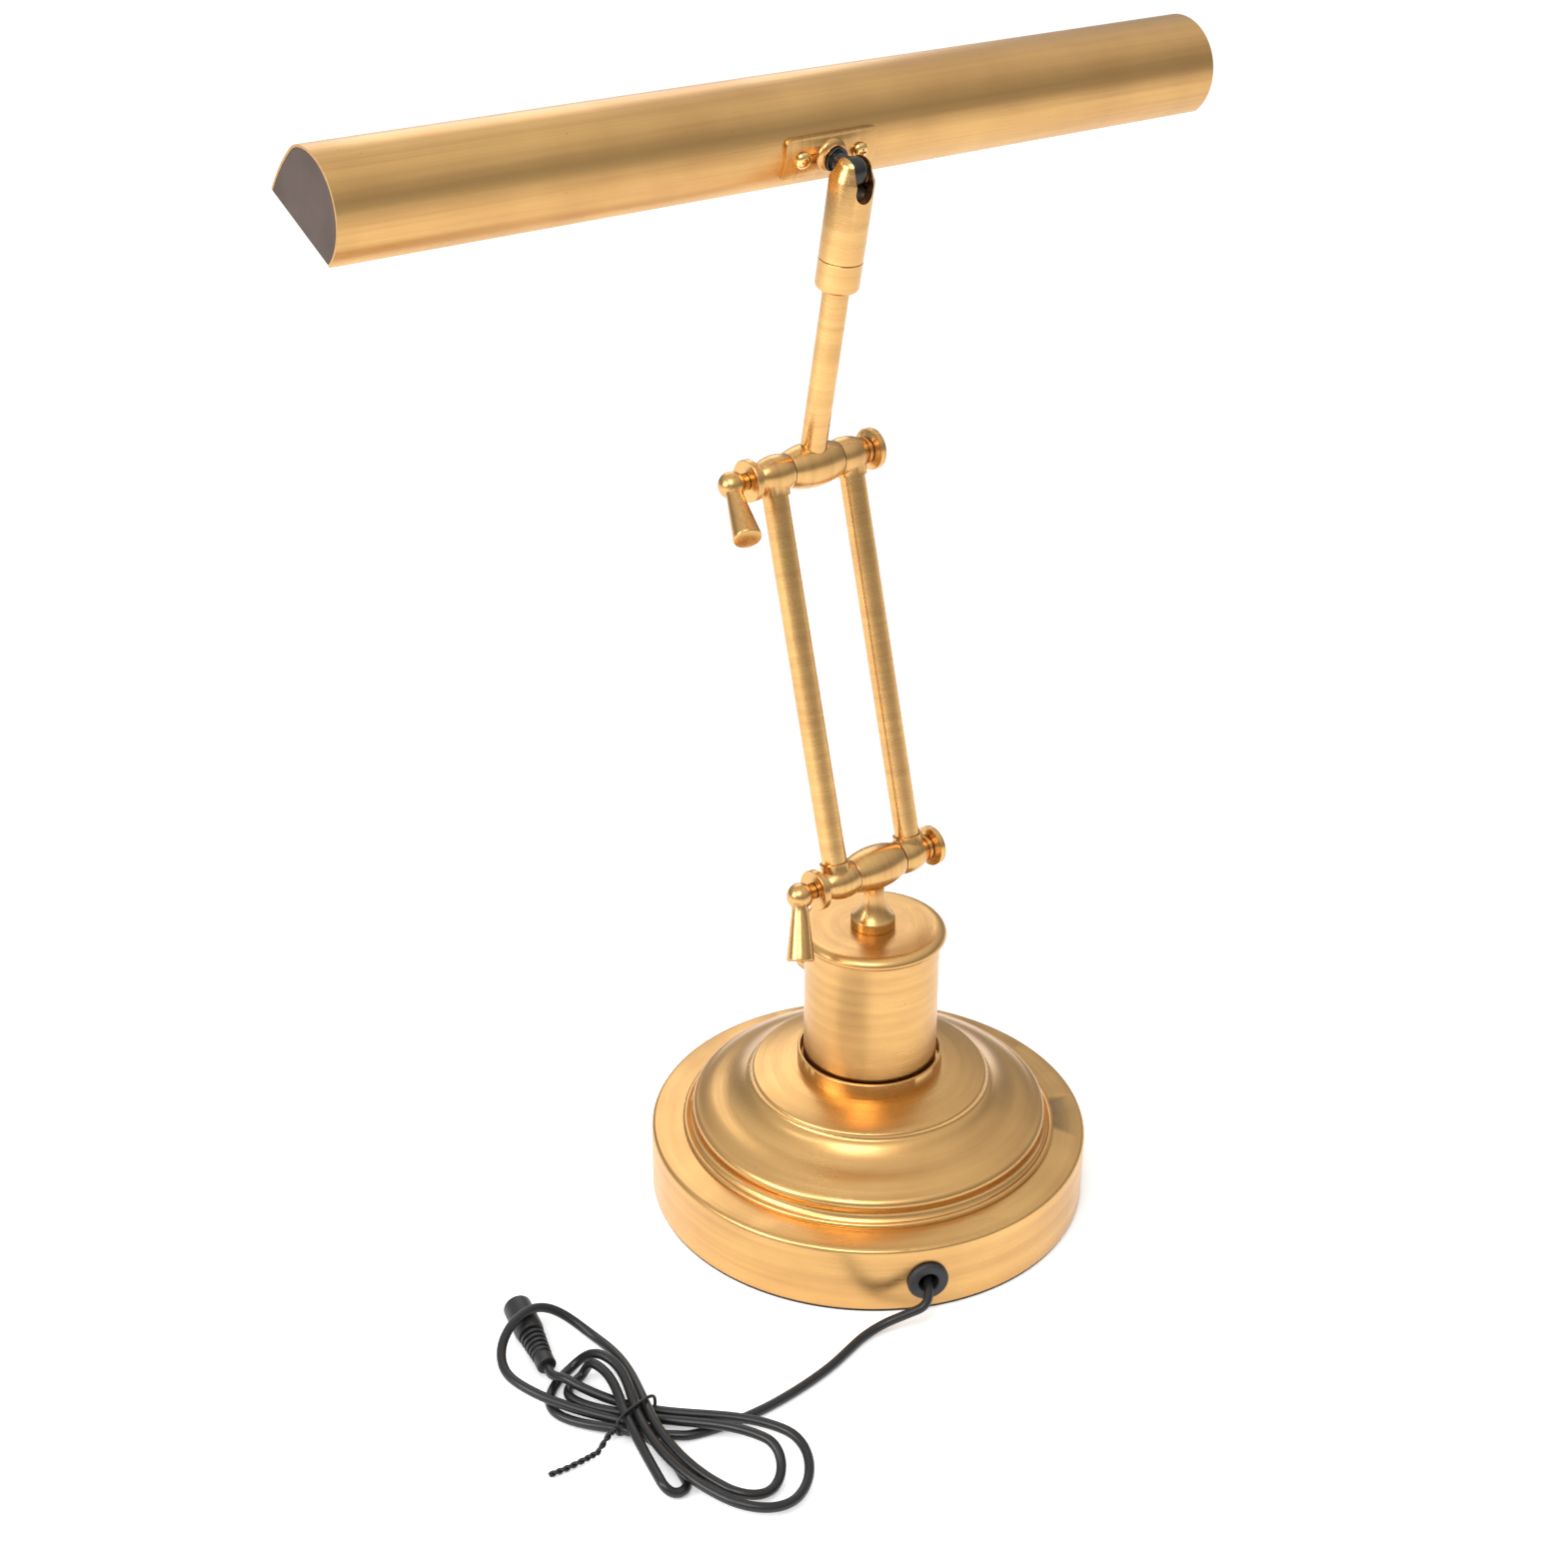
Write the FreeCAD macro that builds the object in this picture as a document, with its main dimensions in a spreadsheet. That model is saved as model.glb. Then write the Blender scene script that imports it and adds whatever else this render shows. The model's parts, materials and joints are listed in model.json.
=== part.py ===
# Piano lamp: a weighted round base with a short post, a double-rod arm clamped at two
# hinge bars, a stem with a ball knuckle, and a long half-round shade. Millimetres.
# The origin is the centre of the underside, on the table. +Z is up, +X is the side of the
# clamp levers, and +Y is the side where the lead leaves, so the light falls towards -Y.
import FreeCAD, Part
import math
import os
from types import SimpleNamespace

import Sketcher
from FreeCAD import Placement, Rotation, Vector

doc = FreeCAD.newDocument("piano_lamp")


# Driving sizes. Angles are in degrees.
SIZES = {
    # Base
    "pad_thickness": 1.6,
    "pad_inset": 0.6,
    "base_radius": 89.0,
    "shell_wall": 1.0,
    "band_height": 29.2,
    "band_round": 2.0,
    "bead_radius": 76.1,
    "bead_rise": 0.7,
    "shoulder_radius": 72.3,
    "shoulder_height": 36.0,
    "step_radius": 48.0,
    "step_height": 53.4,
    "plateau_height": 57.1,
    "weight_flange": 2.0,
    "weight_radius": 78.0,
    # Lead outlet
    "outlet_turn": 24.8,
    "outlet_height": 14.15,
    "grommet_hole": 6.2,
    "grommet_flange": 8.1,
    "grommet_bore": 3.85,
    "lead_radius": 1.8,
    # Post
    "pipe_radius": 5.0,
    "pipe_bore": 3.5,
    "collar_radius": 29.3,
    "collar_wall": 1.0,
    "collar_height": 6.9,
    "post_radius": 26.85,
    "post_wall": 1.2,
    "cap_radius": 29.5,
    "cap_height": 120.9,
    "cap_edge": 4.5,
    "neck_foot": 8.85,
    "neck_waist": 4.3,
    # Dimmer on the light side of the post
    "dimmer_height": 90.0,
    "knob_radius": 8.0,
    "knob_length": 12.0,
    # Hinge bars
    "bar_height": 146.7,
    "hub_half": 11.6,
    "hub_end": 6.65,
    "hub_middle": 8.75,
    "barrel_end": 25.0,
    "barrel_tip": 4.7,
    "bolt_radius": 2.5,
    "disc_radius": 8.0,
    "disc_depth": 5.56,
    "seam_gap": 0.3,
    # Rods
    "rod_radius": 5.0,
    "rod_bore": 3.6,
    "rod_spread": 18.45,
    "rod_seat": 4.6,
    "rod_boss": 5.9,
    "arm_length": 159.2,
    "arm_lean": 15.3,
    # Clamp levers
    "lever_reach": 37.05,
    "lever_ball": 5.2,
    "grip_length": 24.9,
    "grip_root": 3.3,
    "grip_end": 5.45,
    "grip_splay": 17.7,
    "lower_grip_turn": 25.5,
    "upper_grip_turn": 56.2,
    # Stem and knuckle
    "stem_lean": 10.9,
    "stem_radius": 5.0,
    "stem_bore": 3.4,
    "stem_end": 80.0,
    "collar_start": 71.4,
    "socket_start": 83.1,
    "socket_radius": 8.2,
    "socket_shoulder": 112.2,
    "ball_station": 114.9,
    "ball_radius": 5.3,
    "slot_half": 3.7,
    "slot_bottom": 106.0,
    "spigot_radius": 5.5,
    "neck_rise": 15.4,
    "ball_neck": 3.4,
    # Shade
    "shade_reach": 33.7,
    "shade_half": 193.1,
    "shade_radius": 19.85,
    "shade_wall": 0.9,
    "lip_angle": -52.0,
    "crown_angle": 95.0,
    "crown_radius": 11.0,
    "crown_turn": 32.0,
    "front_radius": 68.0,
    "front_turn": 18.0,
    "end_cap_wall": 1.0,
    "plate_wall": 1.2,
    "plate_half": 20.3,
    "plate_spread": 22.3,
    "screw_spread": 12.7,
    "diffuser_recess": 1.6,
    "diffuser_wall": 2.0,
    "carrier_height": 5.6,
    "carrier_wall": 0.8,
    "board_width": 18.0,
    # Power jack on the end of the lead
    "jack_radius": 5.5,
    "jack_length": 36.9,
    "jack_bore": 2.75,
    "jack_depth": 9.5,
    "jack_pin": 1.05,
    # Clearances
    "running": 0.05,
    "loose": 0.3,
}

sheet = doc.addObject("Spreadsheet::Sheet", "sizes")
for row, (alias, number) in enumerate(SIZES.items(), start=1):
    sheet.set(f"A{row}", alias)
    sheet.set(f"B{row}", str(number))
    sheet.setAlias(f"B{row}", alias)
doc.recompute()


class Size:
    """A number together with the sheet expression that gives it."""

    def __init__(self, value, text):
        self.value = float(value)
        self.text = text

    def joined(self, other, sign, value):
        return Size(value, f"({self.text} {sign} {other.text})")

    def __add__(self, other):
        other = as_size(other)
        return self.joined(other, "+", self.value + other.value)

    def __sub__(self, other):
        other = as_size(other)
        return self.joined(other, "-", self.value - other.value)

    def __mul__(self, other):
        other = as_size(other)
        return self.joined(other, "*", self.value * other.value)

    def __truediv__(self, other):
        other = as_size(other)
        return self.joined(other, "/", self.value / other.value)

    def __neg__(self):
        return Size(-self.value, f"(0 - {self.text})")

    def __radd__(self, other):
        return as_size(other) + self

    def __rsub__(self, other):
        return as_size(other) - self

    def __rmul__(self, other):
        return as_size(other) * self


def as_size(thing):
    """A plain number becomes a Size with itself as its text."""
    if isinstance(thing, Size):
        return thing
    return Size(thing, f"({float(thing)})")


def cosine(angle):
    angle = as_size(angle)
    return Size(math.cos(math.radians(angle.value)), f"cos({angle.text})")


def sine(angle):
    angle = as_size(angle)
    return Size(math.sin(math.radians(angle.value)), f"sin({angle.text})")


def root(square):
    return Size(math.sqrt(square.value), f"sqrt({square.text})")


def arc_radius(half_chord, rise):
    """Radius of the arc that rises by a given height over a chord."""
    return (half_chord * half_chord + rise * rise) / (rise * 2)


dim = SimpleNamespace(**{name: Size(number, f"sizes.{name}") for name, number in SIZES.items()})


def bind(thing, prop, size):
    """Set a property and tie it to the sheet."""
    size = as_size(size)
    setattr(thing, prop, size.value)
    thing.setExpression(prop, size.text)


def vector(*parts):
    return Vector(*[as_size(part).value for part in parts])


def bind_base(thing, parts):
    """Tie the position of an object to the sheet."""
    for axis, part in zip("xyz", parts):
        if isinstance(part, Size):
            thing.setExpression(f"Placement.Base.{axis}", part.text)


def arc_between(start, end, radius, turn):
    """The short arc from start to end; turn is 1 to the left and -1 to the right."""
    chord = end - start
    middle = (start + end) * 0.5
    side = Vector(-chord.y, chord.x, 0).normalize() * turn
    centre = middle + side * math.sqrt(radius**2 - (chord.Length / 2) ** 2)
    first, last = (start, end) if turn > 0 else (end, start)
    begin = math.atan2(first.y - centre.y, first.x - centre.x)
    finish = math.atan2(last.y - centre.y, last.x - centre.x)
    if finish < begin:
        finish += 2 * math.pi
    return Part.ArcOfCircle(Part.Circle(centre, Vector(0, 0, 1), radius), begin, finish)


def pin(sketch, geometry, end, point):
    """Hold one end of a sketch line or arc at a point bound to the sheet."""
    for kind, axis, size in (("DistanceX", -2, point[0]), ("DistanceY", -1, point[1])):
        if abs(size.value) < 1e-9:
            sketch.addConstraint(Sketcher.Constraint("PointOnObject", geometry, end, axis))
            continue
        index = sketch.addConstraint(Sketcher.Constraint(kind, -1, 1, geometry, end, size.value))
        sketch.setExpression(f"Constraints[{index}]", size.text)


def draw(sketch, steps, closed=True):
    """Draw an outline. A step is (x, y), or (x, y, radius, turn) for an arc that ends there."""
    points = [(as_size(step[0]), as_size(step[1])) for step in steps]
    ends = []
    for index in range(len(steps) if closed else len(steps) - 1):
        after = (index + 1) % len(steps)
        start, end = vector(*points[index], 0), vector(*points[after], 0)
        first, last = 1, 2
        if len(steps[after]) == 4:
            radius, turn = as_size(steps[after][2]), steps[after][3]
            geometry = sketch.addGeometry(arc_between(start, end, radius.value, turn))
            limit = sketch.addConstraint(Sketcher.Constraint("Radius", geometry, radius.value))
            sketch.setExpression(f"Constraints[{limit}]", radius.text)
            if turn < 0:
                first, last = 2, 1
        else:
            geometry = sketch.addGeometry(Part.LineSegment(start, end))
        pin(sketch, geometry, first, points[index])
        ends.append((geometry, first, last))
    for before, following in zip(ends, ends[1:]):
        sketch.addConstraint(
            Sketcher.Constraint("Coincident", before[0], before[2], following[0], following[1])
        )
    if closed:
        sketch.addConstraint(
            Sketcher.Constraint("Coincident", ends[-1][0], ends[-1][2], ends[0][0], ends[0][1])
        )
    else:
        pin(sketch, ends[-1][0], ends[-1][2], points[-1])


def sketch_on(body, role, name, height=0.0):
    """A sketch on one of the body's own origin planes, raised along its normal."""
    sketch = body.newObject("Sketcher::SketchObject", name)
    plane = next(item for item in body.Origin.OriginFeatures if item.Role == role)
    sketch.AttachmentSupport = [(plane, "")]
    sketch.MapMode = "FlatFace"
    sketch.AttachmentOffset = Placement(vector(0, 0, height), Rotation())
    return sketch


def turned(name, steps, place=None, about="V_Axis"):
    """A body turned on a lathe: (radius, height) steps about Z, or (length, radius) about X."""
    body = doc.addObject("PartDesign::Body", name)
    sketch = sketch_on(body, "XZ_Plane", f"{name}_profile")
    draw(sketch, steps)
    revolution = body.newObject("PartDesign::Revolution", f"{name}_turn")
    revolution.Profile = sketch
    revolution.ReferenceAxis = (sketch, [about])
    revolution.Angle = 360
    if place:
        body.Placement = place
    return body


def padded(name, role, steps, depth, place=None, midplane=False, height=0.0):
    """A body padded from an outline on an origin plane."""
    body = doc.addObject("PartDesign::Body", name)
    sketch = sketch_on(body, role, f"{name}_profile", height)
    draw(sketch, steps)
    pad = body.newObject("PartDesign::Pad", f"{name}_pad")
    pad.Profile = sketch
    bind(pad, "Length", depth)
    pad.Midplane = midplane
    if place:
        body.Placement = place
    return body


def cylinder(name, radius, height, at=(0, 0, 0), along=(0, 0, 1)):
    solid = doc.addObject("Part::Cylinder", name)
    bind(solid, "Radius", radius)
    bind(solid, "Height", height)
    solid.Placement = Placement(vector(*at), Rotation(Vector(0, 0, 1), vector(*along)))
    bind_base(solid, at)
    return solid


def tube(name, radius, bore, height, at=(0, 0, 0), along=(0, 0, 1), place=None):
    """A straight tube: a cylinder with a bore right through."""
    outer = cylinder(f"{name}_outer", radius, height, at, along)
    inner = cylinder(f"{name}_inner", bore, height, at, along)
    return cut(name, outer, inner, place=place)


def box(name, length, width, height, at, turn=None):
    solid = doc.addObject("Part::Box", name)
    for prop, size in (("Length", length), ("Width", width), ("Height", height)):
        bind(solid, prop, size)
    solid.Placement = Placement(vector(*at), turn or Rotation())
    bind_base(solid, at)
    return solid


def fuse(name, *parts, place=None):
    whole = doc.addObject("Part::MultiFuse", name)
    whole.Shapes = list(parts)
    whole.Refine = True
    if place:
        whole.Placement = place
    return whole


def cut(name, base, *tools, place=None):
    whole = doc.addObject("Part::Cut", name)
    whole.Base = base
    whole.Tool = tools[0] if len(tools) == 1 else fuse(f"{name}_tools", *tools)
    if place:
        whole.Placement = place
    return whole


def common(name, first, second, place=None):
    whole = doc.addObject("Part::Common", name)
    whole.Base = first
    whole.Tool = second
    if place:
        whole.Placement = place
    return whole


def group(name, parts, place=None):
    """Like pieces that share one node, as separate solids."""
    whole = doc.addObject("Part::Compound", name)
    whole.Links = parts
    if place:
        whole.Placement = place
    return whole


def hexagon(radius):
    """Corners of a hexagon outline."""
    return [(radius * cosine(60.0 * i), radius * sine(60.0 * i)) for i in range(6)]


pieces = {}


def keep(piece):
    """Note a finished sub-part under its label."""
    pieces[piece.Label] = piece
    return piece


X_AXIS = Vector(1, 0, 0)
TO_X = Rotation(Vector(0, 0, 1), Vector(1, 0, 0))
TO_MINUS_X = Rotation(Vector(0, 0, 1), Vector(-1, 0, 0))

# Frames of the arm, from the base up to the shade.
lower_bar = Placement(vector(0, 0, dim.bar_height), Rotation())
arm = lower_bar.multiply(Placement(Vector(), Rotation(X_AXIS, dim.arm_lean.value)))
arm_top = arm.multiply(Placement(vector(0, 0, dim.arm_length), Rotation()))
upper_bar = Placement(arm_top.Base, Rotation())
stem = Placement(arm_top.Base, Rotation(X_AXIS, -dim.stem_lean.value))
ball = stem.multiply(Placement(vector(0, 0, dim.ball_station), Rotation()))
ball_neck = Placement(ball.Base, Rotation(X_AXIS, 90 - dim.neck_rise.value))
shade = Placement(ball_neck.multVec(vector(0, 0, dim.shade_reach)), Rotation())


# Base
pad_top = dim.pad_thickness
keep(cylinder("foot_pad", dim.base_radius - dim.pad_inset, pad_top))

lead_floor = dim.outlet_height - dim.lead_radius
weight_top = lead_floor - dim.loose
nut_depth = 4.4
nut_radius = 8.0
washer_radius = 10.0
recess_radius = 12.0
pipe_hole = dim.pipe_radius + dim.loose
flange_radius = dim.base_radius - dim.shell_wall - 0.4
keep(
    turned(
        "base_weight",
        [
            (recess_radius, pad_top),
            (flange_radius, pad_top),
            (flange_radius, pad_top + dim.weight_flange),
            (dim.weight_radius, pad_top + dim.weight_flange),
            (dim.weight_radius, weight_top - 1.0),
            (dim.weight_radius - 1.0, weight_top),
            (pipe_hole, weight_top),
            (pipe_hole, pad_top + nut_depth),
            (recess_radius, pad_top + nut_depth),
        ],
    )
)
washer_bottom = pad_top + nut_depth - 1.0
keep(tube("pipe_washer", washer_radius, pipe_hole, 1.0, at=(0, 0, washer_bottom)))
nut_blank = padded("pipe_nut_blank", "XY_Plane", hexagon(as_size(nut_radius)), 3.0)
nut_bore = cylinder("pipe_nut_bore", dim.pipe_radius + dim.running, 3.0)
keep(cut("pipe_nut", nut_blank, nut_bore, place=Placement(vector(0, 0, washer_bottom - 3.0), Rotation())))

# The spun cover: a band, a beaded ledge, an ogee and a raised plateau.
ledge_top = dim.band_height + dim.bead_rise
bead_round = 1.3
wall = dim.shell_wall
cover_outside = [
    (dim.base_radius, pad_top),
    (dim.base_radius, dim.band_height - dim.band_round),
    (dim.base_radius - dim.band_round, dim.band_height, dim.band_round, 1),
    (dim.bead_radius, ledge_top),
    (dim.bead_radius - 2.3, ledge_top + 1.2, bead_round, 1),
    (dim.shoulder_radius, dim.shoulder_height, 4.2, -1),
    (dim.shoulder_radius - 2.6, dim.shoulder_height + 3.7, 3.4, 1),
    (dim.shoulder_radius - 11.5, dim.shoulder_height + 7.6, 26.0, 1),
    (dim.step_radius + 1.6, dim.step_height - 2.6, 24.0, -1),
    (dim.step_radius, dim.step_height - 0.9, 2.2, -1),
    (dim.step_radius - 1.4, dim.step_height + 0.7, 1.7, 1),
    (dim.collar_radius + 1.0, dim.plateau_height, 90.0, 1),
    (pipe_hole, dim.plateau_height),
]
cover_inside = [
    (pipe_hole, dim.plateau_height - wall),
    (dim.collar_radius + 0.9, dim.plateau_height - wall),
    (dim.step_radius - 1.7, dim.step_height - 0.3, 90.0, -1),
    (dim.step_radius - 0.6, dim.step_height - 2.3),
    (dim.step_radius + 1.2, dim.step_height - 3.6),
    (dim.shoulder_radius - 11.9, dim.shoulder_height + 6.6, 25.0, 1),
    (dim.shoulder_radius - 3.2, dim.shoulder_height + 2.9, 25.0, -1),
    (dim.shoulder_radius - wall, dim.shoulder_height + 0.2, 2.6, -1),
    (dim.bead_radius - 3.1, ledge_top + 0.2, 5.2, 1),
    (dim.bead_radius - 1.2, ledge_top - 0.6),
    (dim.bead_radius, ledge_top - wall),
    (dim.base_radius - dim.band_round, dim.band_height - wall),
    (dim.base_radius - wall, dim.band_height - dim.band_round, dim.band_round - wall, -1),
    (dim.base_radius - wall, pad_top),
]
cover_turn = turned("base_shell_turned", cover_outside + cover_inside)
outlet_way = (sine(dim.outlet_turn), cosine(dim.outlet_turn), 0)
outlet_hole = cylinder("outlet_hole", dim.grommet_hole, 20, at=(0, 0, dim.outlet_height), along=outlet_way)
hole_start = dim.base_radius - 10
outlet_hole.Placement.Base = vector(*[hole_start * part for part in outlet_way[:2]], dim.outlet_height)
keep(cut("base_shell", cover_turn, outlet_hole))

# The grommet's groove holds the edge of the hole in the wall.
outlet = Placement(
    vector(*[dim.base_radius * part for part in outlet_way[:2]], dim.outlet_height),
    Rotation(Vector(0, 0, 1), vector(*outlet_way)),
)
groove_radius = dim.grommet_hole - 0.1
wall_hold = dim.shell_wall + 0.6
keep(
    turned(
        "cord_grommet",
        [
            (dim.grommet_bore, -wall_hold - 1.6),
            (dim.grommet_flange - 0.7, -wall_hold - 1.6),
            (dim.grommet_flange - 0.7, -wall_hold),
            (groove_radius, -wall_hold),
            (groove_radius, 0.15),
            (dim.grommet_flange, 0.15),
            (dim.grommet_flange, 0.9),
            (dim.grommet_flange - 1.4, 2.3, 1.5, 1),
            (dim.grommet_bore + 0.8, 2.3),
            (dim.grommet_bore, 1.5, 0.8, 1),
        ],
        place=outlet,
    )
)


# Post
keep(
    turned(
        "post_collar",
        [
            (pipe_hole, dim.plateau_height),
            (dim.collar_radius, dim.plateau_height),
            (dim.collar_radius, dim.plateau_height + dim.collar_height - 0.4),
            (dim.collar_radius - dim.collar_wall / 2, dim.plateau_height + dim.collar_height, 0.6, 1),
            (dim.collar_radius - dim.collar_wall, dim.plateau_height + dim.collar_height),
            (dim.collar_radius - dim.collar_wall, dim.plateau_height + dim.collar_wall),
            (pipe_hole, dim.plateau_height + dim.collar_wall),
        ],
    )
)
post_bottom = dim.plateau_height + dim.collar_wall
cap_bottom = dim.cap_height - dim.cap_edge
light_way = (0, -1, 0)
post_blank = tube(
    "post_blank",
    dim.post_radius,
    dim.post_radius - dim.post_wall,
    cap_bottom - post_bottom,
    at=(0, 0, post_bottom),
)
bush_radius = 3.5
bush_hole = cylinder("bush_hole", bush_radius + 0.1, 40, at=(0, 0, dim.dimmer_height), along=light_way)
keep(cut("post_tube", post_blank, bush_hole))
cap_spigot = dim.post_radius - dim.post_wall - 0.1
keep(
    turned(
        "post_cap",
        [
            (pipe_hole, cap_bottom - 3.0),
            (cap_spigot, cap_bottom - 3.0),
            (cap_spigot, cap_bottom),
            (dim.cap_radius - 0.9, cap_bottom),
            (dim.cap_radius - 0.9, cap_bottom + 0.6),
            (dim.cap_radius - 0.2, cap_bottom + 0.8),
            (dim.cap_radius, cap_bottom + 1.6),
            (dim.cap_radius - 3.9, dim.cap_height, 3.6, 1),
            (pipe_hole, dim.cap_height),
        ],
    )
)
pipe_bottom = washer_bottom - 3.0
pipe_top = dim.cap_height + 3.5
keep(tube("centre_pipe", dim.pipe_radius, dim.pipe_bore, pipe_top - pipe_bottom, at=(0, 0, pipe_bottom)))


def inner_run(name, radius, length, offset, place, start):
    """A straight run of wire that lies along the wall of the tube that holds it."""
    wire = cylinder(name, radius, length, at=(0, offset, start))
    wire.Placement = place.multiply(wire.Placement)
    for axis in "xyz":
        wire.setExpression(f"Placement.Base.{axis}", None)
    return wire


wire_radius = 1.1
inner_start = 14.0
inner_lead = cylinder("inner_lead", dim.lead_radius, dim.base_radius - inner_start)
inner_lead.Placement = Placement(
    vector(*[inner_start * part.value for part in outlet_way[:2]], dim.outlet_height), outlet.Rotation
)
keep(inner_lead)
keep(
    inner_run(
        "post_wire",
        wire_radius,
        dim.cap_height - dim.outlet_height,
        dim.pipe_bore - wire_radius - dim.loose,
        Placement(),
        dim.outlet_height,
    )
)


# Dimmer: the housing and its bush are fixed in the post, the knob and shaft turn.
dimmer = Placement(vector(0, 0, dim.dimmer_height), Rotation(Vector(0, 0, 1), Vector(0, -1, 0)))
pot_radius = 8.5
pot_depth = 9.0
inner_post = dim.post_radius - dim.post_wall
pot_face = root(inner_post * inner_post - pot_radius * pot_radius) - dim.loose
shaft_radius = 3.0
bush_end = dim.post_radius + 4.0
keep(
    turned(
        "dimmer_housing",
        [
            (0, pot_face - pot_depth),
            (pot_radius, pot_face - pot_depth),
            (pot_radius, pot_face),
            (bush_radius, pot_face),
            (bush_radius, bush_end),
            (shaft_radius + dim.running, bush_end),
            (shaft_radius + dim.running, pot_face - 4.0),
            (0, pot_face - 4.0),
        ],
        place=dimmer,
    )
)
keep(box("dimmer_board", 26.0, 1.6, 30.0, at=(-13.0, -(pot_face - pot_depth), dim.dimmer_height - 15.0)))
bush_nut_blank = padded("bush_nut_blank", "XY_Plane", hexagon(as_size(5.6)), 2.0)
bush_nut_bore = cylinder("bush_nut_bore", bush_radius + dim.running, 2.0)
keep(
    cut(
        "dimmer_nut",
        bush_nut_blank,
        bush_nut_bore,
        place=dimmer.multiply(Placement(vector(0, 0, dim.post_radius + 0.1), Rotation())),
    )
)
shaft_end = bush_end + 6.0
keep(
    cylinder(
        "dimmer_shaft",
        shaft_radius,
        shaft_end - pot_face + 3.7,
        at=(0, -(pot_face - 3.7), dim.dimmer_height),
        along=light_way,
    )
)
knob_start = dim.post_radius + dim.loose
knob_end = knob_start + dim.knob_length
knob_blank = turned(
    "dimmer_knob_blank",
    [
        (6.3, knob_start),
        (dim.knob_radius, knob_start),
        (dim.knob_radius, knob_end - 1.0),
        (dim.knob_radius - 1.0, knob_end, 1.0, 1),
        (0, knob_end),
        (0, shaft_end),
        (shaft_radius + dim.running, shaft_end),
        (shaft_radius + dim.running, bush_end + 0.5),
        (6.3, bush_end + 0.5),
    ],
)
flute_count = 16
flutes = [
    cylinder(
        f"knob_flute_{i}",
        0.7,
        dim.knob_length,
        at=(
            (dim.knob_radius + 0.3) * cosine(360.0 / flute_count * i),
            (dim.knob_radius + 0.3) * sine(360.0 / flute_count * i),
            knob_start + 2.0,
        ),
    )
    for i in range(flute_count)
]
keep(cut("dimmer_knob", knob_blank, *flutes, place=dimmer))


# Hinge bars: a barrel-shaped hub in the middle, and a knuckle with a disc at each end.
hub_bulge = arc_radius(dim.hub_half, dim.hub_middle - dim.hub_end)
bolt_bore = dim.bolt_radius + dim.running


def hub_barrel(name, place=None):
    return turned(
        name,
        [
            (-dim.hub_half, bolt_bore),
            (dim.hub_half, bolt_bore),
            (dim.hub_half, dim.hub_end),
            (-dim.hub_half, dim.hub_end, hub_bulge, 1),
        ],
        place=place,
        about="H_Axis",
    )


neck_height = dim.bar_height - dim.cap_height
lower_barrel = hub_barrel("lower_barrel", Placement(vector(0, 0, neck_height), Rotation()))
neck_blank = turned(
    "neck_blank",
    [
        (0, 3.8),
        (dim.pipe_radius + dim.running, 3.8),
        (dim.pipe_radius + dim.running, 0),
        (dim.neck_foot, 0),
        (dim.neck_foot, 3.6),
        (dim.neck_foot - 0.5, 4.5, 1.0, 1),
        (dim.neck_waist, 14.5, 17.0, -1),
        (dim.neck_waist, neck_height - bolt_bore - 1.0),
        (0, neck_height - bolt_bore - 1.0),
    ],
)
hub_place = Placement(vector(0, 0, dim.cap_height), Rotation())
keep(fuse("lower_hub", lower_barrel, neck_blank, place=hub_place))

upper_barrel = hub_barrel("upper_barrel")
stem_socket = cylinder("stem_socket", dim.stem_radius + dim.running, 10, at=(0, 0, dim.rod_seat))
keep(cut("upper_hub", upper_barrel, stem_socket, place=stem))


def knuckle(name, place):
    """One end of a hinge bar, with the collared socket that holds a rod."""
    barrel = turned(
        f"{name}_barrel",
        [
            (dim.hub_half + dim.seam_gap, bolt_bore),
            (dim.hub_half + dim.seam_gap, dim.hub_end),
            (dim.barrel_end, dim.barrel_tip, 16.0, -1),
            (dim.barrel_end, bolt_bore),
        ],
        about="H_Axis",
    )
    boss = tube(f"{name}_boss", dim.rod_boss, bolt_bore + 1.2, 4.9, at=(dim.rod_spread, 0, 3.0))
    seat = (dim.rod_spread, 0, dim.rod_seat)
    socket = cylinder(f"{name}_socket", dim.rod_radius + dim.running, 10, at=seat)
    return keep(cut(name, fuse(f"{name}_blank", barrel, boss), socket, place=place))


TO_FAR_SIDE = Placement(Vector(), Rotation(Vector(0, 0, 1), 180))
UPSIDE_DOWN = Placement(Vector(), Rotation(X_AXIS, 180))
knuckle("lower_knuckle_lever_side", arm)
knuckle("lower_knuckle_far_side", arm.multiply(TO_FAR_SIDE))
knuckle("upper_knuckle_lever_side", arm_top.multiply(UPSIDE_DOWN))
knuckle("upper_knuckle_far_side", arm_top.multiply(UPSIDE_DOWN).multiply(TO_FAR_SIDE))


def disc_steps(blind):
    """Ring, groove, cone and rim of an end disc, from the knuckle outwards."""
    steps = [
        (bolt_bore, 0),
        (5.2, 0),
        (5.2, 1.3),
        (4.5, 1.3),
        (4.5, 1.9),
        (5.2, 1.9),
        (dim.disc_radius - 0.7, dim.disc_depth - 2.7),
        (dim.disc_radius, dim.disc_depth - 2.6),
        (dim.disc_radius, dim.disc_depth - 0.3),
        (dim.disc_radius - 0.3, dim.disc_depth, 0.3, 1),
    ]
    if blind:
        return steps + [(0, dim.disc_depth), (0, dim.disc_depth - 1.2), (bolt_bore, dim.disc_depth - 1.2)]
    return steps + [(bolt_bore, dim.disc_depth)]


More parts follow.
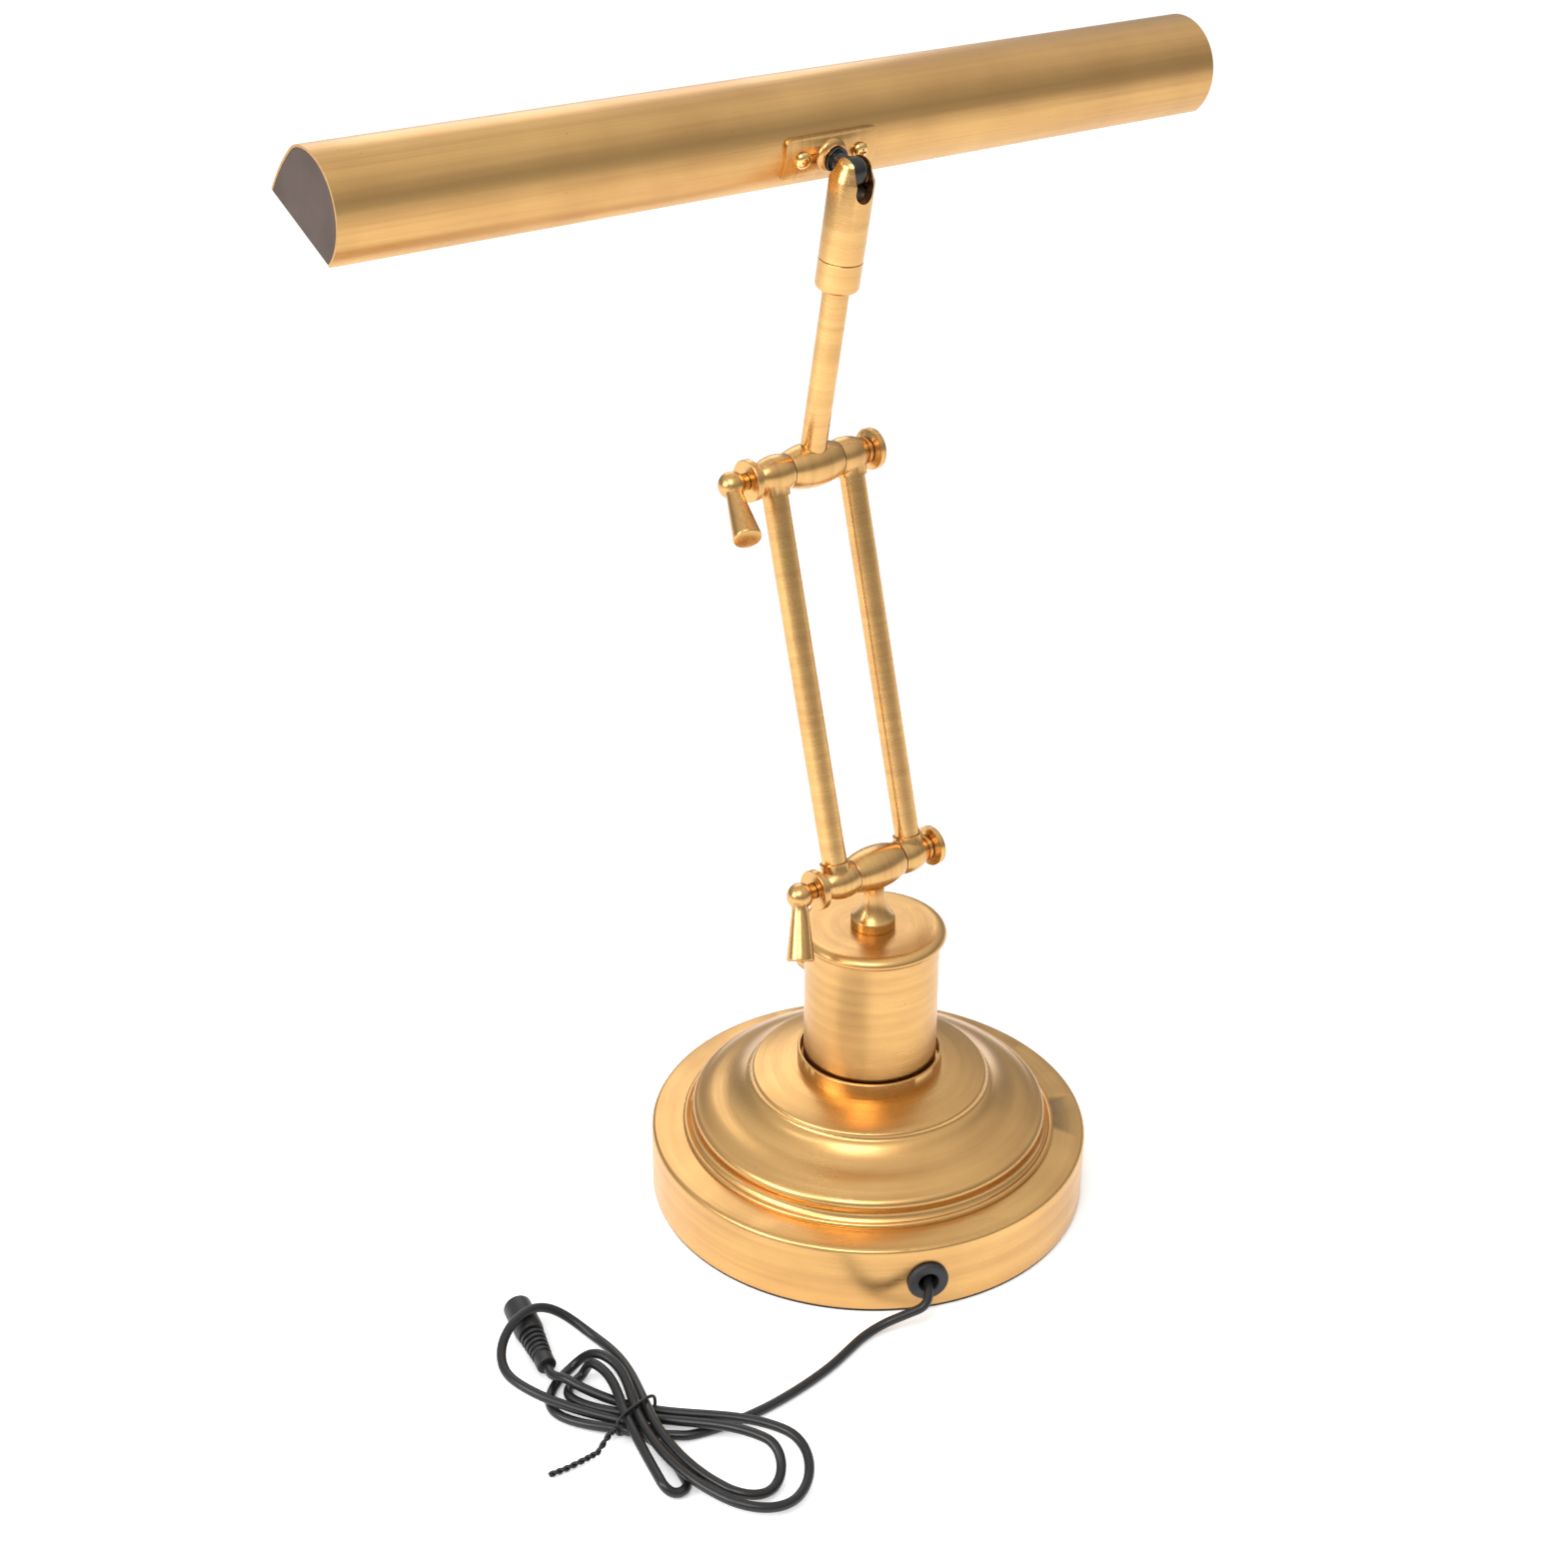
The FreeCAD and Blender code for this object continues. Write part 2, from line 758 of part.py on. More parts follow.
def bar_fittings(level, place):
    """The disc that the lever turns on, and the nut disc on the far end of the bolt."""
    seat_place = place.multiply(Placement(vector(dim.barrel_end, 0, 0), TO_X))
    nut_place = place.multiply(Placement(vector(-dim.barrel_end, 0, 0), TO_MINUS_X))
    keep(turned(f"{level}_lever_seat", disc_steps(False), place=seat_place))
    keep(turned(f"{level}_pivot_nut", disc_steps(True), place=nut_place))


bar_fittings("lower", arm)
bar_fittings("upper", arm_top)

for side, name in ((1, "lever_side"), (-1, "far_side")):
    keep(
        tube(
            f"rod_{name}",
            dim.rod_radius,
            dim.rod_bore,
            dim.arm_length - dim.rod_seat * 2,
            at=(dim.rod_spread * side, 0, dim.rod_seat),
            place=arm,
        )
    )
rod_wire_place = arm.multiply(Placement(vector(dim.rod_spread, 0, 0), Rotation()))
keep(
    inner_run(
        "rod_wire",
        wire_radius,
        dim.arm_length - dim.rod_seat * 2 - dim.loose * 2,
        dim.rod_bore - wire_radius - dim.loose,
        rod_wire_place,
        dim.rod_seat + dim.loose,
    )
)


# Clamp levers: a ball on a stub with a tapered grip, keyed to the bolt through the bar.
def clamp_lever(level, place, turn):
    lever_place = place.multiply(Placement(Vector(), Rotation(X_AXIS, turn.value)))
    stub_start = dim.barrel_end + dim.disc_depth + dim.loose
    stub_length = dim.lever_reach - stub_start
    stub = cylinder(f"{level}_stub", 3.2, stub_length, at=(stub_start, 0, 0), along=(1, 0, 0))
    knob = doc.addObject("Part::Sphere", f"{level}_lever_ball")
    bind(knob, "Radius", dim.lever_ball)
    knob.Placement.Base = vector(dim.lever_reach, 0, 0)
    bind_base(knob, (dim.lever_reach,))
    down = Rotation(Vector(0, 1, 0), 180 - dim.grip_splay.value)
    grip = turned(
        f"{level}_grip",
        [
            (0, 3.5),
            (dim.grip_root, 3.5),
            (dim.grip_root, 6.0),
            (dim.grip_end, dim.grip_length - 0.9),
            (dim.grip_end - 0.6, dim.grip_length, 0.9, 1),
            (0, dim.grip_length),
        ],
        place=Placement(vector(dim.lever_reach, 0, 0), down),
    )
    keep(fuse(f"{level}_clamp_lever", stub, knob, grip, place=lever_place))
    far_end = dim.barrel_end + dim.disc_depth - 1.5
    keep(
        cylinder(
            f"{level}_pivot_bolt",
            dim.bolt_radius,
            far_end + stub_start,
            at=(-far_end, 0, 0),
            along=(1, 0, 0),
        )
    )
    bolt = pieces[f"{level}_pivot_bolt"]
    bolt.setExpression("Placement.Base.x", None)
    bolt.Placement = lever_place.multiply(bolt.Placement)


clamp_lever("lower", lower_bar, dim.lower_grip_turn)
clamp_lever("upper", upper_bar, dim.upper_grip_turn)


# Stem, with the collar that the knuckle swivels on.
keep(
    tube(
        "upper_stem",
        dim.stem_radius,
        dim.stem_bore,
        dim.stem_end - dim.rod_seat,
        at=(0, 0, dim.rod_seat),
        place=stem,
    )
)
keep(
    inner_run(
        "stem_wire",
        wire_radius,
        dim.stem_end - dim.rod_seat - dim.loose * 2,
        dim.stem_bore - wire_radius - dim.loose,
        stem,
        dim.rod_seat + dim.loose,
    )
)
collar_end = dim.socket_start - dim.seam_gap
spigot_end = dim.socket_start + 12.0
keep(
    turned(
        "stem_collar",
        [
            (dim.stem_radius + dim.running, dim.collar_start),
            (dim.socket_radius - 1.6, dim.collar_start),
            (dim.socket_radius, dim.collar_start + 1.6, 1.6, 1),
            (dim.socket_radius, collar_end),
            (dim.spigot_radius, collar_end),
            (dim.spigot_radius, spigot_end),
            (dim.stem_bore, spigot_end),
            (dim.stem_bore, dim.stem_end),
            (dim.stem_radius + dim.running, dim.stem_end),
        ],
        place=stem,
    )
)

# Knuckle: a slotted socket closes over the ball, and disc springs press a cup against it.
seat_radius = dim.ball_radius + 0.1
chamber = seat_radius + dim.running
spigot_bore = dim.spigot_radius + dim.running
dome_top = dim.ball_station + 5.5
lip_radius = as_size(2.6)
socket_blank = turned(
    "socket_blank",
    [
        (spigot_bore, dim.socket_start),
        (dim.socket_radius, dim.socket_start),
        (dim.socket_radius, dim.socket_shoulder),
        (dim.socket_radius - 2.0, dim.socket_shoulder + 4.5),
        (lip_radius, dome_top, 4.6, 1),
        (lip_radius, dim.ball_station + root(chamber * chamber - lip_radius * lip_radius)),
        (chamber, dim.ball_station, chamber, -1),
        (chamber, spigot_end + dim.loose),
        (spigot_bore, spigot_end + dim.loose),
    ],
)
slot_floor = dim.slot_bottom + dim.slot_half
slot_round = cylinder(
    "slot_round",
    dim.slot_half,
    dim.socket_radius * 2 + 2,
    at=(0, -(dim.socket_radius + 1), slot_floor),
    along=(0, 1, 0),
)
slot_box = box(
    "slot_box",
    dim.slot_half * 2,
    dim.socket_radius * 2 + 2,
    20,
    at=(-dim.slot_half, -(dim.socket_radius + 1), slot_floor),
)
keep(cut("knuckle_socket", socket_blank, slot_round, slot_box, place=stem))
cup_depth = seat_radius * 0.85
cup_top = dim.ball_station - cup_depth
cup_lip = root(seat_radius * seat_radius - cup_depth * cup_depth)
cup_outer = seat_radius - 0.1
cup_shoulder = cup_top - (cup_outer - cup_lip) * 0.58
cup_bottom = dim.ball_station - seat_radius - 4.0
keep(
    turned(
        "friction_cup",
        [
            (0, cup_bottom),
            (cup_outer, cup_bottom),
            (cup_outer, cup_shoulder),
            (cup_lip, cup_top),
            (0, dim.ball_station - seat_radius, seat_radius, -1),
        ],
        place=stem,
    )
)
spring_count = 4
spring_start = spigot_end + dim.loose
spring_pitch = (cup_bottom - spring_start) / spring_count
springs = []
for index in range(spring_count):
    low = spring_start + spring_pitch * index
    dish = spring_pitch - 0.7
    inner_rise, outer_rise = (dish, 0) if index % 2 == 0 else (0, dish)
    springs.append(
        turned(
            f"disc_spring_{index}",
            [
                (2.4, low + inner_rise),
                (seat_radius - 0.3, low + outer_rise),
                (seat_radius - 0.3, low + outer_rise + 0.65),
                (2.4, low + inner_rise + 0.65),
            ],
        )
    )
keep(group("disc_springs", springs, place=stem))

# The ball and its neck; the shade's plate turns on the spigot behind the ring.
ring_start = dim.socket_radius + 0.6
ring_end = ring_start + 1.0
plate_outer = dim.shade_radius + dim.plate_wall
boss_start = ring_end + dim.loose
nut_start = dim.shade_reach - dim.shade_radius + dim.shade_wall + 0.85
nut_end = nut_start + 2.0
pivot_radius = 2.4
ball_solid = doc.addObject("Part::Sphere", "ball_solid")
bind(ball_solid, "Radius", dim.ball_radius)
neck_turned = turned(
    "ball_neck_turned",
    [
        (0, 1.0),
        (dim.ball_neck, 1.0),
        (dim.ball_neck, ring_start),
        (dim.ball_neck + 1.1, ring_start),
        (dim.ball_neck + 1.1, ring_end),
        (pivot_radius, ring_end),
        (pivot_radius, nut_end + 0.3),
        (0, nut_end + 0.3),
    ],
)
keep(fuse("swivel_ball", ball_solid, neck_turned, place=ball_neck))
neck_nut_blank = padded("neck_nut_blank", "XY_Plane", hexagon(as_size(4.5)), 2.0)
neck_nut_bore = cylinder("neck_nut_bore", pivot_radius + dim.running, 2.0)
keep(
    cut(
        "neck_nut",
        neck_nut_blank,
        neck_nut_bore,
        place=ball_neck.multiply(Placement(vector(0, 0, nut_start), Rotation())),
    )
)


# Shade
def shade_line(inset):
    """The section of the shade, from its rear lip over the crown to its front lip."""
    crown_end = dim.crown_angle + dim.crown_turn
    front_end = crown_end + dim.front_turn
    crown_x = (dim.shade_radius - dim.crown_radius) * cosine(dim.crown_angle)
    crown_y = (dim.shade_radius - dim.crown_radius) * sine(dim.crown_angle)
    front_x = crown_x + (dim.crown_radius - dim.front_radius) * cosine(crown_end)
    front_y = crown_y + (dim.crown_radius - dim.front_radius) * sine(crown_end)
    back = dim.shade_radius - inset
    crown = dim.crown_radius - inset
    front = dim.front_radius - inset
    return [
        (back * cosine(dim.lip_angle), back * sine(dim.lip_angle)),
        (back, 0, back, 1),
        (back * cosine(dim.crown_angle), back * sine(dim.crown_angle), back, 1),
        (crown_x + crown * cosine(crown_end), crown_y + crown * sine(crown_end), crown, 1),
        (front_x + front * cosine(front_end), front_y + front * sine(front_end), front, 1),
    ]


shell_line = doc.addObject("Sketcher::SketchObject", "shade_shell_line")
section_turn = Rotation(Vector(0, 1, 0), Vector(0, 0, 1), Vector(1, 0, 0), "ZXY")
shell_line.Placement = Placement(Vector(), section_turn)
draw(shell_line, shade_line(as_size(0)), closed=False)
shell_skin = doc.addObject("Part::Offset2D", "shade_shell_skin")
shell_skin.Source = shell_line
shell_skin.Mode = "Skin"
shell_skin.Join = "Intersection"
shell_skin.Fill = True
bind(shell_skin, "Value", -dim.shade_wall)
shell_pad = doc.addObject("Part::Extrusion", "shade_shell_pad")
shell_pad.Base = shell_skin
shell_pad.DirMode = "Custom"
shell_pad.Dir = X_AXIS
shell_pad.Solid = True
shell_pad.Symmetric = True
bind(shell_pad, "LengthFwd", dim.shade_half * 2)
neck_way = (0, cosine(-dim.neck_rise), sine(-dim.neck_rise))
shell_holes = [cylinder("spigot_hole", pivot_radius + 0.2, dim.shade_radius + 5, along=neck_way)]
for side in (1, -1):
    name = f"shell_screw_hole_{'lever' if side > 0 else 'far'}"
    hole_start = (dim.screw_spread * side, 0, 0)
    shell_holes.append(cylinder(name, 1.6, dim.shade_radius + 5, at=hole_start, along=neck_way))
keep(cut("shade_shell", shell_pad, *shell_holes, place=shade))


def inner_section(name, inset, depth, middle):
    """A slug of the shade's inside, closed straight across its mouth."""
    slug = padded(name, "YZ_Plane", shade_line(inset), depth)
    slug.Placement.Base = vector(middle - depth / 2, 0, 0)
    return slug


cap_inset = dim.shade_wall + 0.1
for side, name in ((1, "end_cap_lever_side"), (-1, "end_cap_far_side")):
    middle = (dim.shade_half - dim.end_cap_wall / 2) * side
    end_cap = inner_section(name, cap_inset, dim.end_cap_wall, middle)
    end_cap.Placement = shade.multiply(end_cap.Placement)
    keep(end_cap)

# Slabs parallel to the mouth, cut out of the shade's inside, make what is mounted there.
lips = shade_line(as_size(0))
rear_lip, front_lip = vector(0, *lips[0]), vector(0, *lips[-1][:2])
mouth = rear_lip - front_lip
mouth_turn = Rotation(X_AXIS, math.degrees(math.atan2(mouth.z, mouth.y)))
mouth_normal = mouth_turn.multVec(Vector(0, 0, 1))
mouth_middle = (rear_lip + front_lip) * 0.5
inner_length = (dim.shade_half - dim.end_cap_wall) * 2


def mouth_slab(name, length, width, wall, height):
    """A flat strip across the mouth, its lower face at a height above the lips."""
    slab = box(name, length, width, wall, at=(0, 0, 0), turn=mouth_turn)
    corner = Vector(-as_size(length).value / 2, -as_size(width).value / 2, as_size(height).value)
    slab.Placement = Placement(mouth_middle + mouth_turn.multVec(corner), mouth_turn)
    return slab


def fitted_slab(name, wall, height):
    slug = inner_section(f"{name}_slug", dim.shade_wall + 0.15, inner_length, as_size(0))
    slab = mouth_slab(f"{name}_slab", inner_length, 60, wall, height)
    return keep(common(name, slug, slab, place=shade))


fitted_slab("diffuser", dim.diffuser_wall, dim.diffuser_recess)
fitted_slab("led_carrier", dim.carrier_wall, dim.carrier_height)
board_wall = 1.0
board_length = inner_length - 12
board = mouth_slab("led_board", board_length, dim.board_width, board_wall, dim.carrier_height - board_wall)
board.Placement = shade.multiply(board.Placement)
keep(board)
chip_count = 24
chips = []
for index in range(chip_count):
    chip = mouth_slab(f"led_chip_{index}", 3.5, 2.8, 0.7, dim.carrier_height - board_wall - 0.7)
    chip.Placement.Base.x += board_length.value * ((index + 0.5) / chip_count - 0.5)
    chips.append(chip)
keep(group("led_chips", chips, place=shade))

# Mounting plate: a bent plate with rounded corners and a turned boss.
spread = dim.plate_spread
plate_gap = as_size(0.02)
inner_plate = dim.shade_radius + plate_gap
plate_bent = padded(
    "plate_bent",
    "YZ_Plane",
    [
        (inner_plate * cosine(spread), -inner_plate * sine(spread), inner_plate, -1),
        (plate_outer * cosine(spread), -plate_outer * sine(spread)),
        (plate_outer * cosine(spread), plate_outer * sine(spread), plate_outer, 1),
        (inner_plate * cosine(spread), inner_plate * sine(spread)),
    ],
    dim.plate_half * 2,
    midplane=True,
)
plate_rise = plate_outer * sine(spread)
corner = as_size(3.0)
edge_x, edge_z = dim.plate_half, plate_rise
plate_corners = padded(
    "plate_corners",
    "XZ_Plane",
    [
        (-(edge_x - corner), -edge_z, corner, 1),
        (edge_x - corner, -edge_z),
        (edge_x, -(edge_z - corner), corner, 1),
        (edge_x, edge_z - corner),
        (edge_x - corner, edge_z, corner, 1),
        (-(edge_x - corner), edge_z),
        (-edge_x, edge_z - corner, corner, 1),
        (-edge_x, -(edge_z - corner)),
    ],
    80,
    midplane=True,
)
plate_rounded = common("plate_rounded", plate_bent, plate_corners)
boss_length = dim.shade_reach - boss_start
boss_end = root(inner_plate * inner_plate - 40.0)
plate_boss = turned(
    "plate_boss",
    [
        (0, boss_end),
        (6.2, boss_end),
        (6.2, plate_outer + 0.4),
        (4.9, boss_length - 0.9, 3.2, 1),
        (4.9, boss_length),
        (0, boss_length),
    ],
    place=Placement(Vector(), Rotation(Vector(0, 0, 1), Vector(0, 1, 0))),
)
plate_holes = [cylinder("plate_bore", pivot_radius + dim.running, 60, along=(0, 1, 0))]
for side in (1, -1):
    name = f"plate_screw_hole_{'lever' if side > 0 else 'far'}"
    plate_holes.append(cylinder(name, 1.6, 60, at=(dim.screw_spread * side, 0, 0), along=(0, 1, 0)))
inside_start = (-dim.plate_half, 0, 0)
inside = cylinder("plate_inside", inner_plate, dim.plate_half * 2, at=inside_start, along=(1, 0, 0))
plate_whole = fuse("plate_whole", plate_rounded, plate_boss)
plate_place = shade.multiply(Placement(Vector(), Rotation(X_AXIS, -dim.neck_rise.value)))
keep(cut("mount_plate", plate_whole, inside, *plate_holes, place=plate_place))

screws = []
head_start = plate_outer + 0.05
for side, name in ((1, "lever"), (-1, "far")):
    screw_place = Placement(
        vector(dim.screw_spread * side, 0, 0), Rotation(Vector(0, 0, 1), Vector(0, 1, 0))
    )
    head = turned(
        f"screw_{name}_blank",
        [
            (0, dim.shade_radius - dim.shade_wall - 2.0),
            (1.5, dim.shade_radius - dim.shade_wall - 2.0),
            (1.5, head_start),
            (3.1, head_start),
            (3.1, head_start + 0.7),
            (1.5, head_start + 2.0, 2.6, 1),
            (0, head_start + 2.0),
        ],
        place=screw_place,
    )
    cross = [
        box(f"screw_{name}_slot_{i}", length, width, 2, at=(0, 0, 0))
        for i, (length, width) in enumerate(((0.8, 3.2), (3.2, 0.8)))
    ]
    for slot in cross:
        low = Vector(-slot.Length.Value / 2, -slot.Width.Value / 2, (head_start + 1.0).value)
        slot.Placement = screw_place.multiply(Placement(low, Rotation()))
    screws.append(cut(f"screw_{name}", head, *cross))
keep(group("plate_screws", screws, place=plate_place))


# The lead: a free stretch on the table, then loops tied in a bow, then the power jack.
LEAD = dim.lead_radius.value
FLOOR = LEAD + 0.05
TIE = Vector(163.0, 66.0, 0)
LANE_STEP = 2 * LEAD + 0.6
LOW_LANE = LEAD + 1.6
HIGH_LANE = LOW_LANE + LANE_STEP + 0.2
# Lanes through the tie: the low ones run towards the outer loops, the high ones cross them.
LOW_TURN, HIGH_TURN = 126.10, 252.67
LOW_SHIFT, HIGH_SHIFT = Vector(0.61, -0.12, 0), Vector(1.43, 3.01, 0)


def level_way(degrees):
    return Vector(math.cos(math.radians(degrees)), math.sin(math.radians(degrees)), 0)


def lane(level, number):
    """Where a strand goes through the tie, and which way it runs there."""
    low = level == "low"
    way = level_way(LOW_TURN if low else HIGH_TURN)
    side = Vector(way.y, -way.x, 0)
    middle = 1.5 if low else 1.0
    lift = Vector(0, 0, LOW_LANE if low else HIGH_LANE)
    return TIE + (LOW_SHIFT if low else HIGH_SHIFT) + side * (number - middle) * LANE_STEP + lift, way


def loop_turn(bearing, reach, width, tip_shift, heights, side):
    """Three nodes of one loop: on its way out, at its tip and on its way back."""
    out = level_way(bearing)
    across = Vector(-out.y, out.x, 0) * side
    middle = TIE + out * (reach - width / 2)
    lift = [Vector(0, 0, height) for height in heights]
    return [
        (middle - across * (width / 2) + lift[0], out),
        (TIE + out * reach + across * tip_shift + lift[1], across),
        (middle + across * (width / 2) + lift[2], -out),
    ]


def biarc(start, start_way, end, end_way):
    """Two arcs that join two points along the given ways."""
    chord = end - start
    ways = start_way + end_way
    square = 2 * (1 - start_way.dot(end_way))
    linear = 2 * chord.dot(ways)
    if abs(square) < 1e-9:
        reach = chord.dot(chord) / linear
    else:
        reach = (-linear + math.sqrt(linear**2 + 4 * square * chord.dot(chord))) / (2 * square)
    joint = (start + start_way * reach + end - end_way * reach) * 0.5
    joint_way = (end - end_way * reach) - (start + start_way * reach)
    return [(start, start_way, joint), (joint, joint_way.normalize(), end)]


def arc_edge(start, way, end):
    """The arc that leaves start along a way and ends at a point."""
    chord = end - start
    straight = Vector(chord).normalize()
    half_turn = way.getAngle(straight) / 2
    if half_turn < 1e-5:
        return Part.LineSegment(start, end).toShape()
    lean = (way + straight).normalize()
    return Part.Arc(start, start + lean * (chord.Length / 2 / math.cos(half_turn)), end).toShape()


def swept_tube(name, edges, radius):
    """A round tube along tangent lines and arcs."""
    path = Part.Wire(edges)
    start = path.OrderedVertexes[0].Point
    way = edges[0].tangentAt(edges[0].FirstParameter)
    profile = Part.Wire(Part.Circle(start, way, radius).toShape())
    solid = path.makePipeShell([profile], True, False)
    ratio = solid.Volume / (math.pi * radius**2 * path.Length)
    print(f"{name}: length {path.Length:.1f}, volume ratio {ratio:.4f}")
    thing = doc.addObject("Part::Feature", name)
    thing.Shape = solid
    return keep(thing)


def rounded_route(points):
    """Straight runs joined by tangent arcs, and the radius of each arc."""
    edges, radii, last = [], [], points[0]
    for before, corner, after in zip(points, points[1:], points[2:]):
        into, out = (corner - before), (after - corner)
        turn = into.getAngle(out)
        radius = 0.45 * min(into.Length, out.Length) / math.tan(turn / 2)
        radii.append(radius)
        trim = radius * math.tan(turn / 2)
        begin = corner - into.normalize() * trim
        finish = corner + out.normalize() * trim
        edges.append(Part.LineSegment(last, begin).toShape())
        edges.append(arc_edge(begin, into, finish))
        last = finish
    edges.append(Part.LineSegment(last, points[-1]).toShape())
    return edges, radii


# The jack lies on the table, its tail towards the tie.
jack_tail = Vector(174.6, 24.5, dim.jack_radius.value + 0.2)
jack_way = Vector(-0.26, -0.9656, 0).normalize()
jack_place = Placement(jack_tail, Rotation(Vector(0, 0, 1), jack_way))
rib_count = 5
rib_start, rib_pitch = 6.0, 2.4
ribs = []
for index in range(rib_count):
    low = rib_start + rib_pitch * index
    edge = 3.9 + 0.22 * index
    ribs += [(3.1, low), (edge, low), (edge, low + 1.4), (3.1, low + 1.4)]
jack_steps = [
    (0, 0),
    (3.4, 0),
    (3.7, 0.4),
    (3.7, 5.0),
    (3.1, 5.0),
    *ribs,
    (3.1, 18.6),
    (5.0, 18.6),
    (dim.jack_radius, 21.4),
    (dim.jack_radius, dim.jack_length - 0.8),
    (dim.jack_radius - 0.8, dim.jack_length, 0.8, 1),
    (dim.jack_bore + 0.35, dim.jack_length),
    (dim.jack_bore + 0.35, dim.jack_length - dim.jack_depth),
    (0, dim.jack_length - dim.jack_depth),
]
keep(turned("jack_housing", jack_steps, place=jack_place))
sleeve_start = dim.jack_length - dim.jack_depth
keep(
    tube(
        "jack_sleeve",
        dim.jack_bore + 0.3,
        dim.jack_bore,
        dim.jack_depth - 0.3,
        at=(0, 0, sleeve_start),
        place=jack_place,
    )
)
keep(
    turned(
        "jack_pin",
        [
            (0, sleeve_start),
            (dim.jack_pin, sleeve_start),
            (dim.jack_pin, dim.jack_length - 1.3),
            (dim.jack_pin - 0.4, dim.jack_length - 0.9),
            (0, dim.jack_length - 0.9),
        ],
        place=jack_place,
    )
)

# Free stretch, from the grommet along the table to the tie.
exit_way = vector(*outlet_way)
exit_point = vector(0, 0, dim.outlet_height) + exit_way * dim.base_radius.value
hank_end = Vector(155.55, 80.27, FLOOR)
end_way = level_way(139.78)
ROUTE = [
    exit_point,
    exit_point + exit_way * 5.5 + Vector(0.6, -0.2, -0.7),
    Vector(45.6, 89.6, 10.9),
    Vector(51.4, 85.4, 7.4),
    Vector(58.7, 80.9, 3.8),
    Vector(67.9, 79.9, FLOOR),
    Vector(77.4, 82.5, FLOOR),
    Vector(87.6, 85.4, FLOOR),
    Vector(98.6, 87.2, FLOOR),
    Vector(110.0, 88.3, FLOOR),
    Vector(122.0, 88.6, FLOOR),
    Vector(133.8, 87.6, FLOOR),
    Vector(143.0, 85.9, FLOOR),
    hank_end + end_way * 4.5,
    hank_end,
]
lead_edges, bend_radii = rounded_route(ROUTE)
print("bend radii", [round(radius, 1) for radius in bend_radii])
swept_tube("lead_cord", lead_edges, LEAD)

# Tied loops, from the jack's end to the free stretch. Each row is a loop: the lane it
# leaves by, its bearing, reach, width, tip shift, heights, side, and the lane it comes back to.
LOOPS = [
    (("low", 0), 110.6, 69.73, 38.42, 1.93, (7.78, 3.44, 6.14), -1, ("high", 1)),
    (("high", 1), 288.2, 37.98, 26.39, -7.04, (11.42, 1.84, 2.10), 1, ("low", 3)),
    (("low", 3), 76.2, 39.47, 9.38, -0.26, (2.30, 2.46, 5.50), -1, ("high", 0)),
    (("high", 0), 283.2, 32.35, 13.05, -3.51, (10.20, 2.09, 2.79), 1, ("low", 1)),
    (("low", 1), 108.3, 59.81, 24.53, 0.58, (9.50, 2.81, 5.31), -1, ("high", 2)),
    (("high", 2), 278.2, 64.53, 41.49, -3.83, (1.84, 13.47, 7.78), 1, ("low", 2)),
]
nodes = [
    (jack_tail, -jack_way),
    (jack_tail - jack_way * 2 * LEAD, -jack_way),
    (Vector(173.68, 37.05, 7.42), level_way(102.66)),
    lane("low", 0),
]
for start, bearing, reach, width, shift, heights, side, finish in LOOPS:
    nodes += loop_turn(bearing, reach, width, shift, heights, side)
    nodes.append(lane(*finish))
nodes += [(hank_end - end_way * 2 * LEAD, end_way), (hank_end, end_way)]


def hank_edges(stations):
    edges = []
    for (start, start_way), (end, end_way) in zip(stations, stations[1:]):
        chord = Vector(end - start).normalize()
        if start_way.getAngle(chord) < 1e-4 and end_way.getAngle(chord) < 1e-4:
            edges.append(Part.LineSegment(start, end).toShape())
            continue
        for part in biarc(start, Vector(start_way).normalize(), end, Vector(end_way).normalize()):
            edges.append(arc_edge(*part))
    return edges


def least_gap(edges, radius, apart):
    """The least gap of a tube to itself, between points further apart than a given length."""
    samples = []
    travelled = 0.0
    for edge in edges:
        count = max(2, int(edge.Length))
        for index in range(count):
            at = edge.Length * index / count
            samples.append((travelled + at, edge.valueAt(edge.getParameterByLength(at))))
        travelled += edge.Length
    gaps = [
        (first.distanceToPoint(second) - 2 * radius, here)
        for index, (here, first) in enumerate(samples)
        for there, second in samples[index + 1 :: 2]
        if there - here > apart
    ]
    return min(gaps)


loop_edges = hank_edges(nodes)
gap, where = least_gap(loop_edges, LEAD, 12.0)
print(f"least gap of the loops to themselves {gap:.2f} at {where:.0f}")
print("loop radii", [round(e.Curve.Radius, 1) for e in loop_edges if hasattr(e.Curve, "Radius")])
swept_tube("lead_hank", loop_edges, LEAD)


# The tie: a wire ring round the waist of the bow, with its ends twisted into a tail.
TIE_WIRE = 0.6
waist = level_way((LOW_TURN + HIGH_TURN + 180.0) / 2.0)
across_waist = Vector(waist.y, -waist.x, 0)
strands = [lane("low", i)[0] for i in range(4)] + [lane("high", i)[0] for i in range(3)]
offsets = [(point - TIE).dot(across_waist) for point in strands]
ring_low = TIE_WIRE + 0.1
ring_top = HIGH_LANE + LEAD + TIE_WIRE + 0.2
ring_round = (ring_top - ring_low) / 2
ring_left = min(offsets) - LEAD + ring_round * 0.2
ring_right = max(offsets) + LEAD - ring_round * 0.2
low_left, low_right = (TIE + across_waist * at + Vector(0, 0, ring_low) for at in (ring_left, ring_right))
top_left, top_right = (TIE + across_waist * at + Vector(0, 0, ring_top) for at in (ring_left, ring_right))
middle_lift = Vector(0, 0, ring_round)
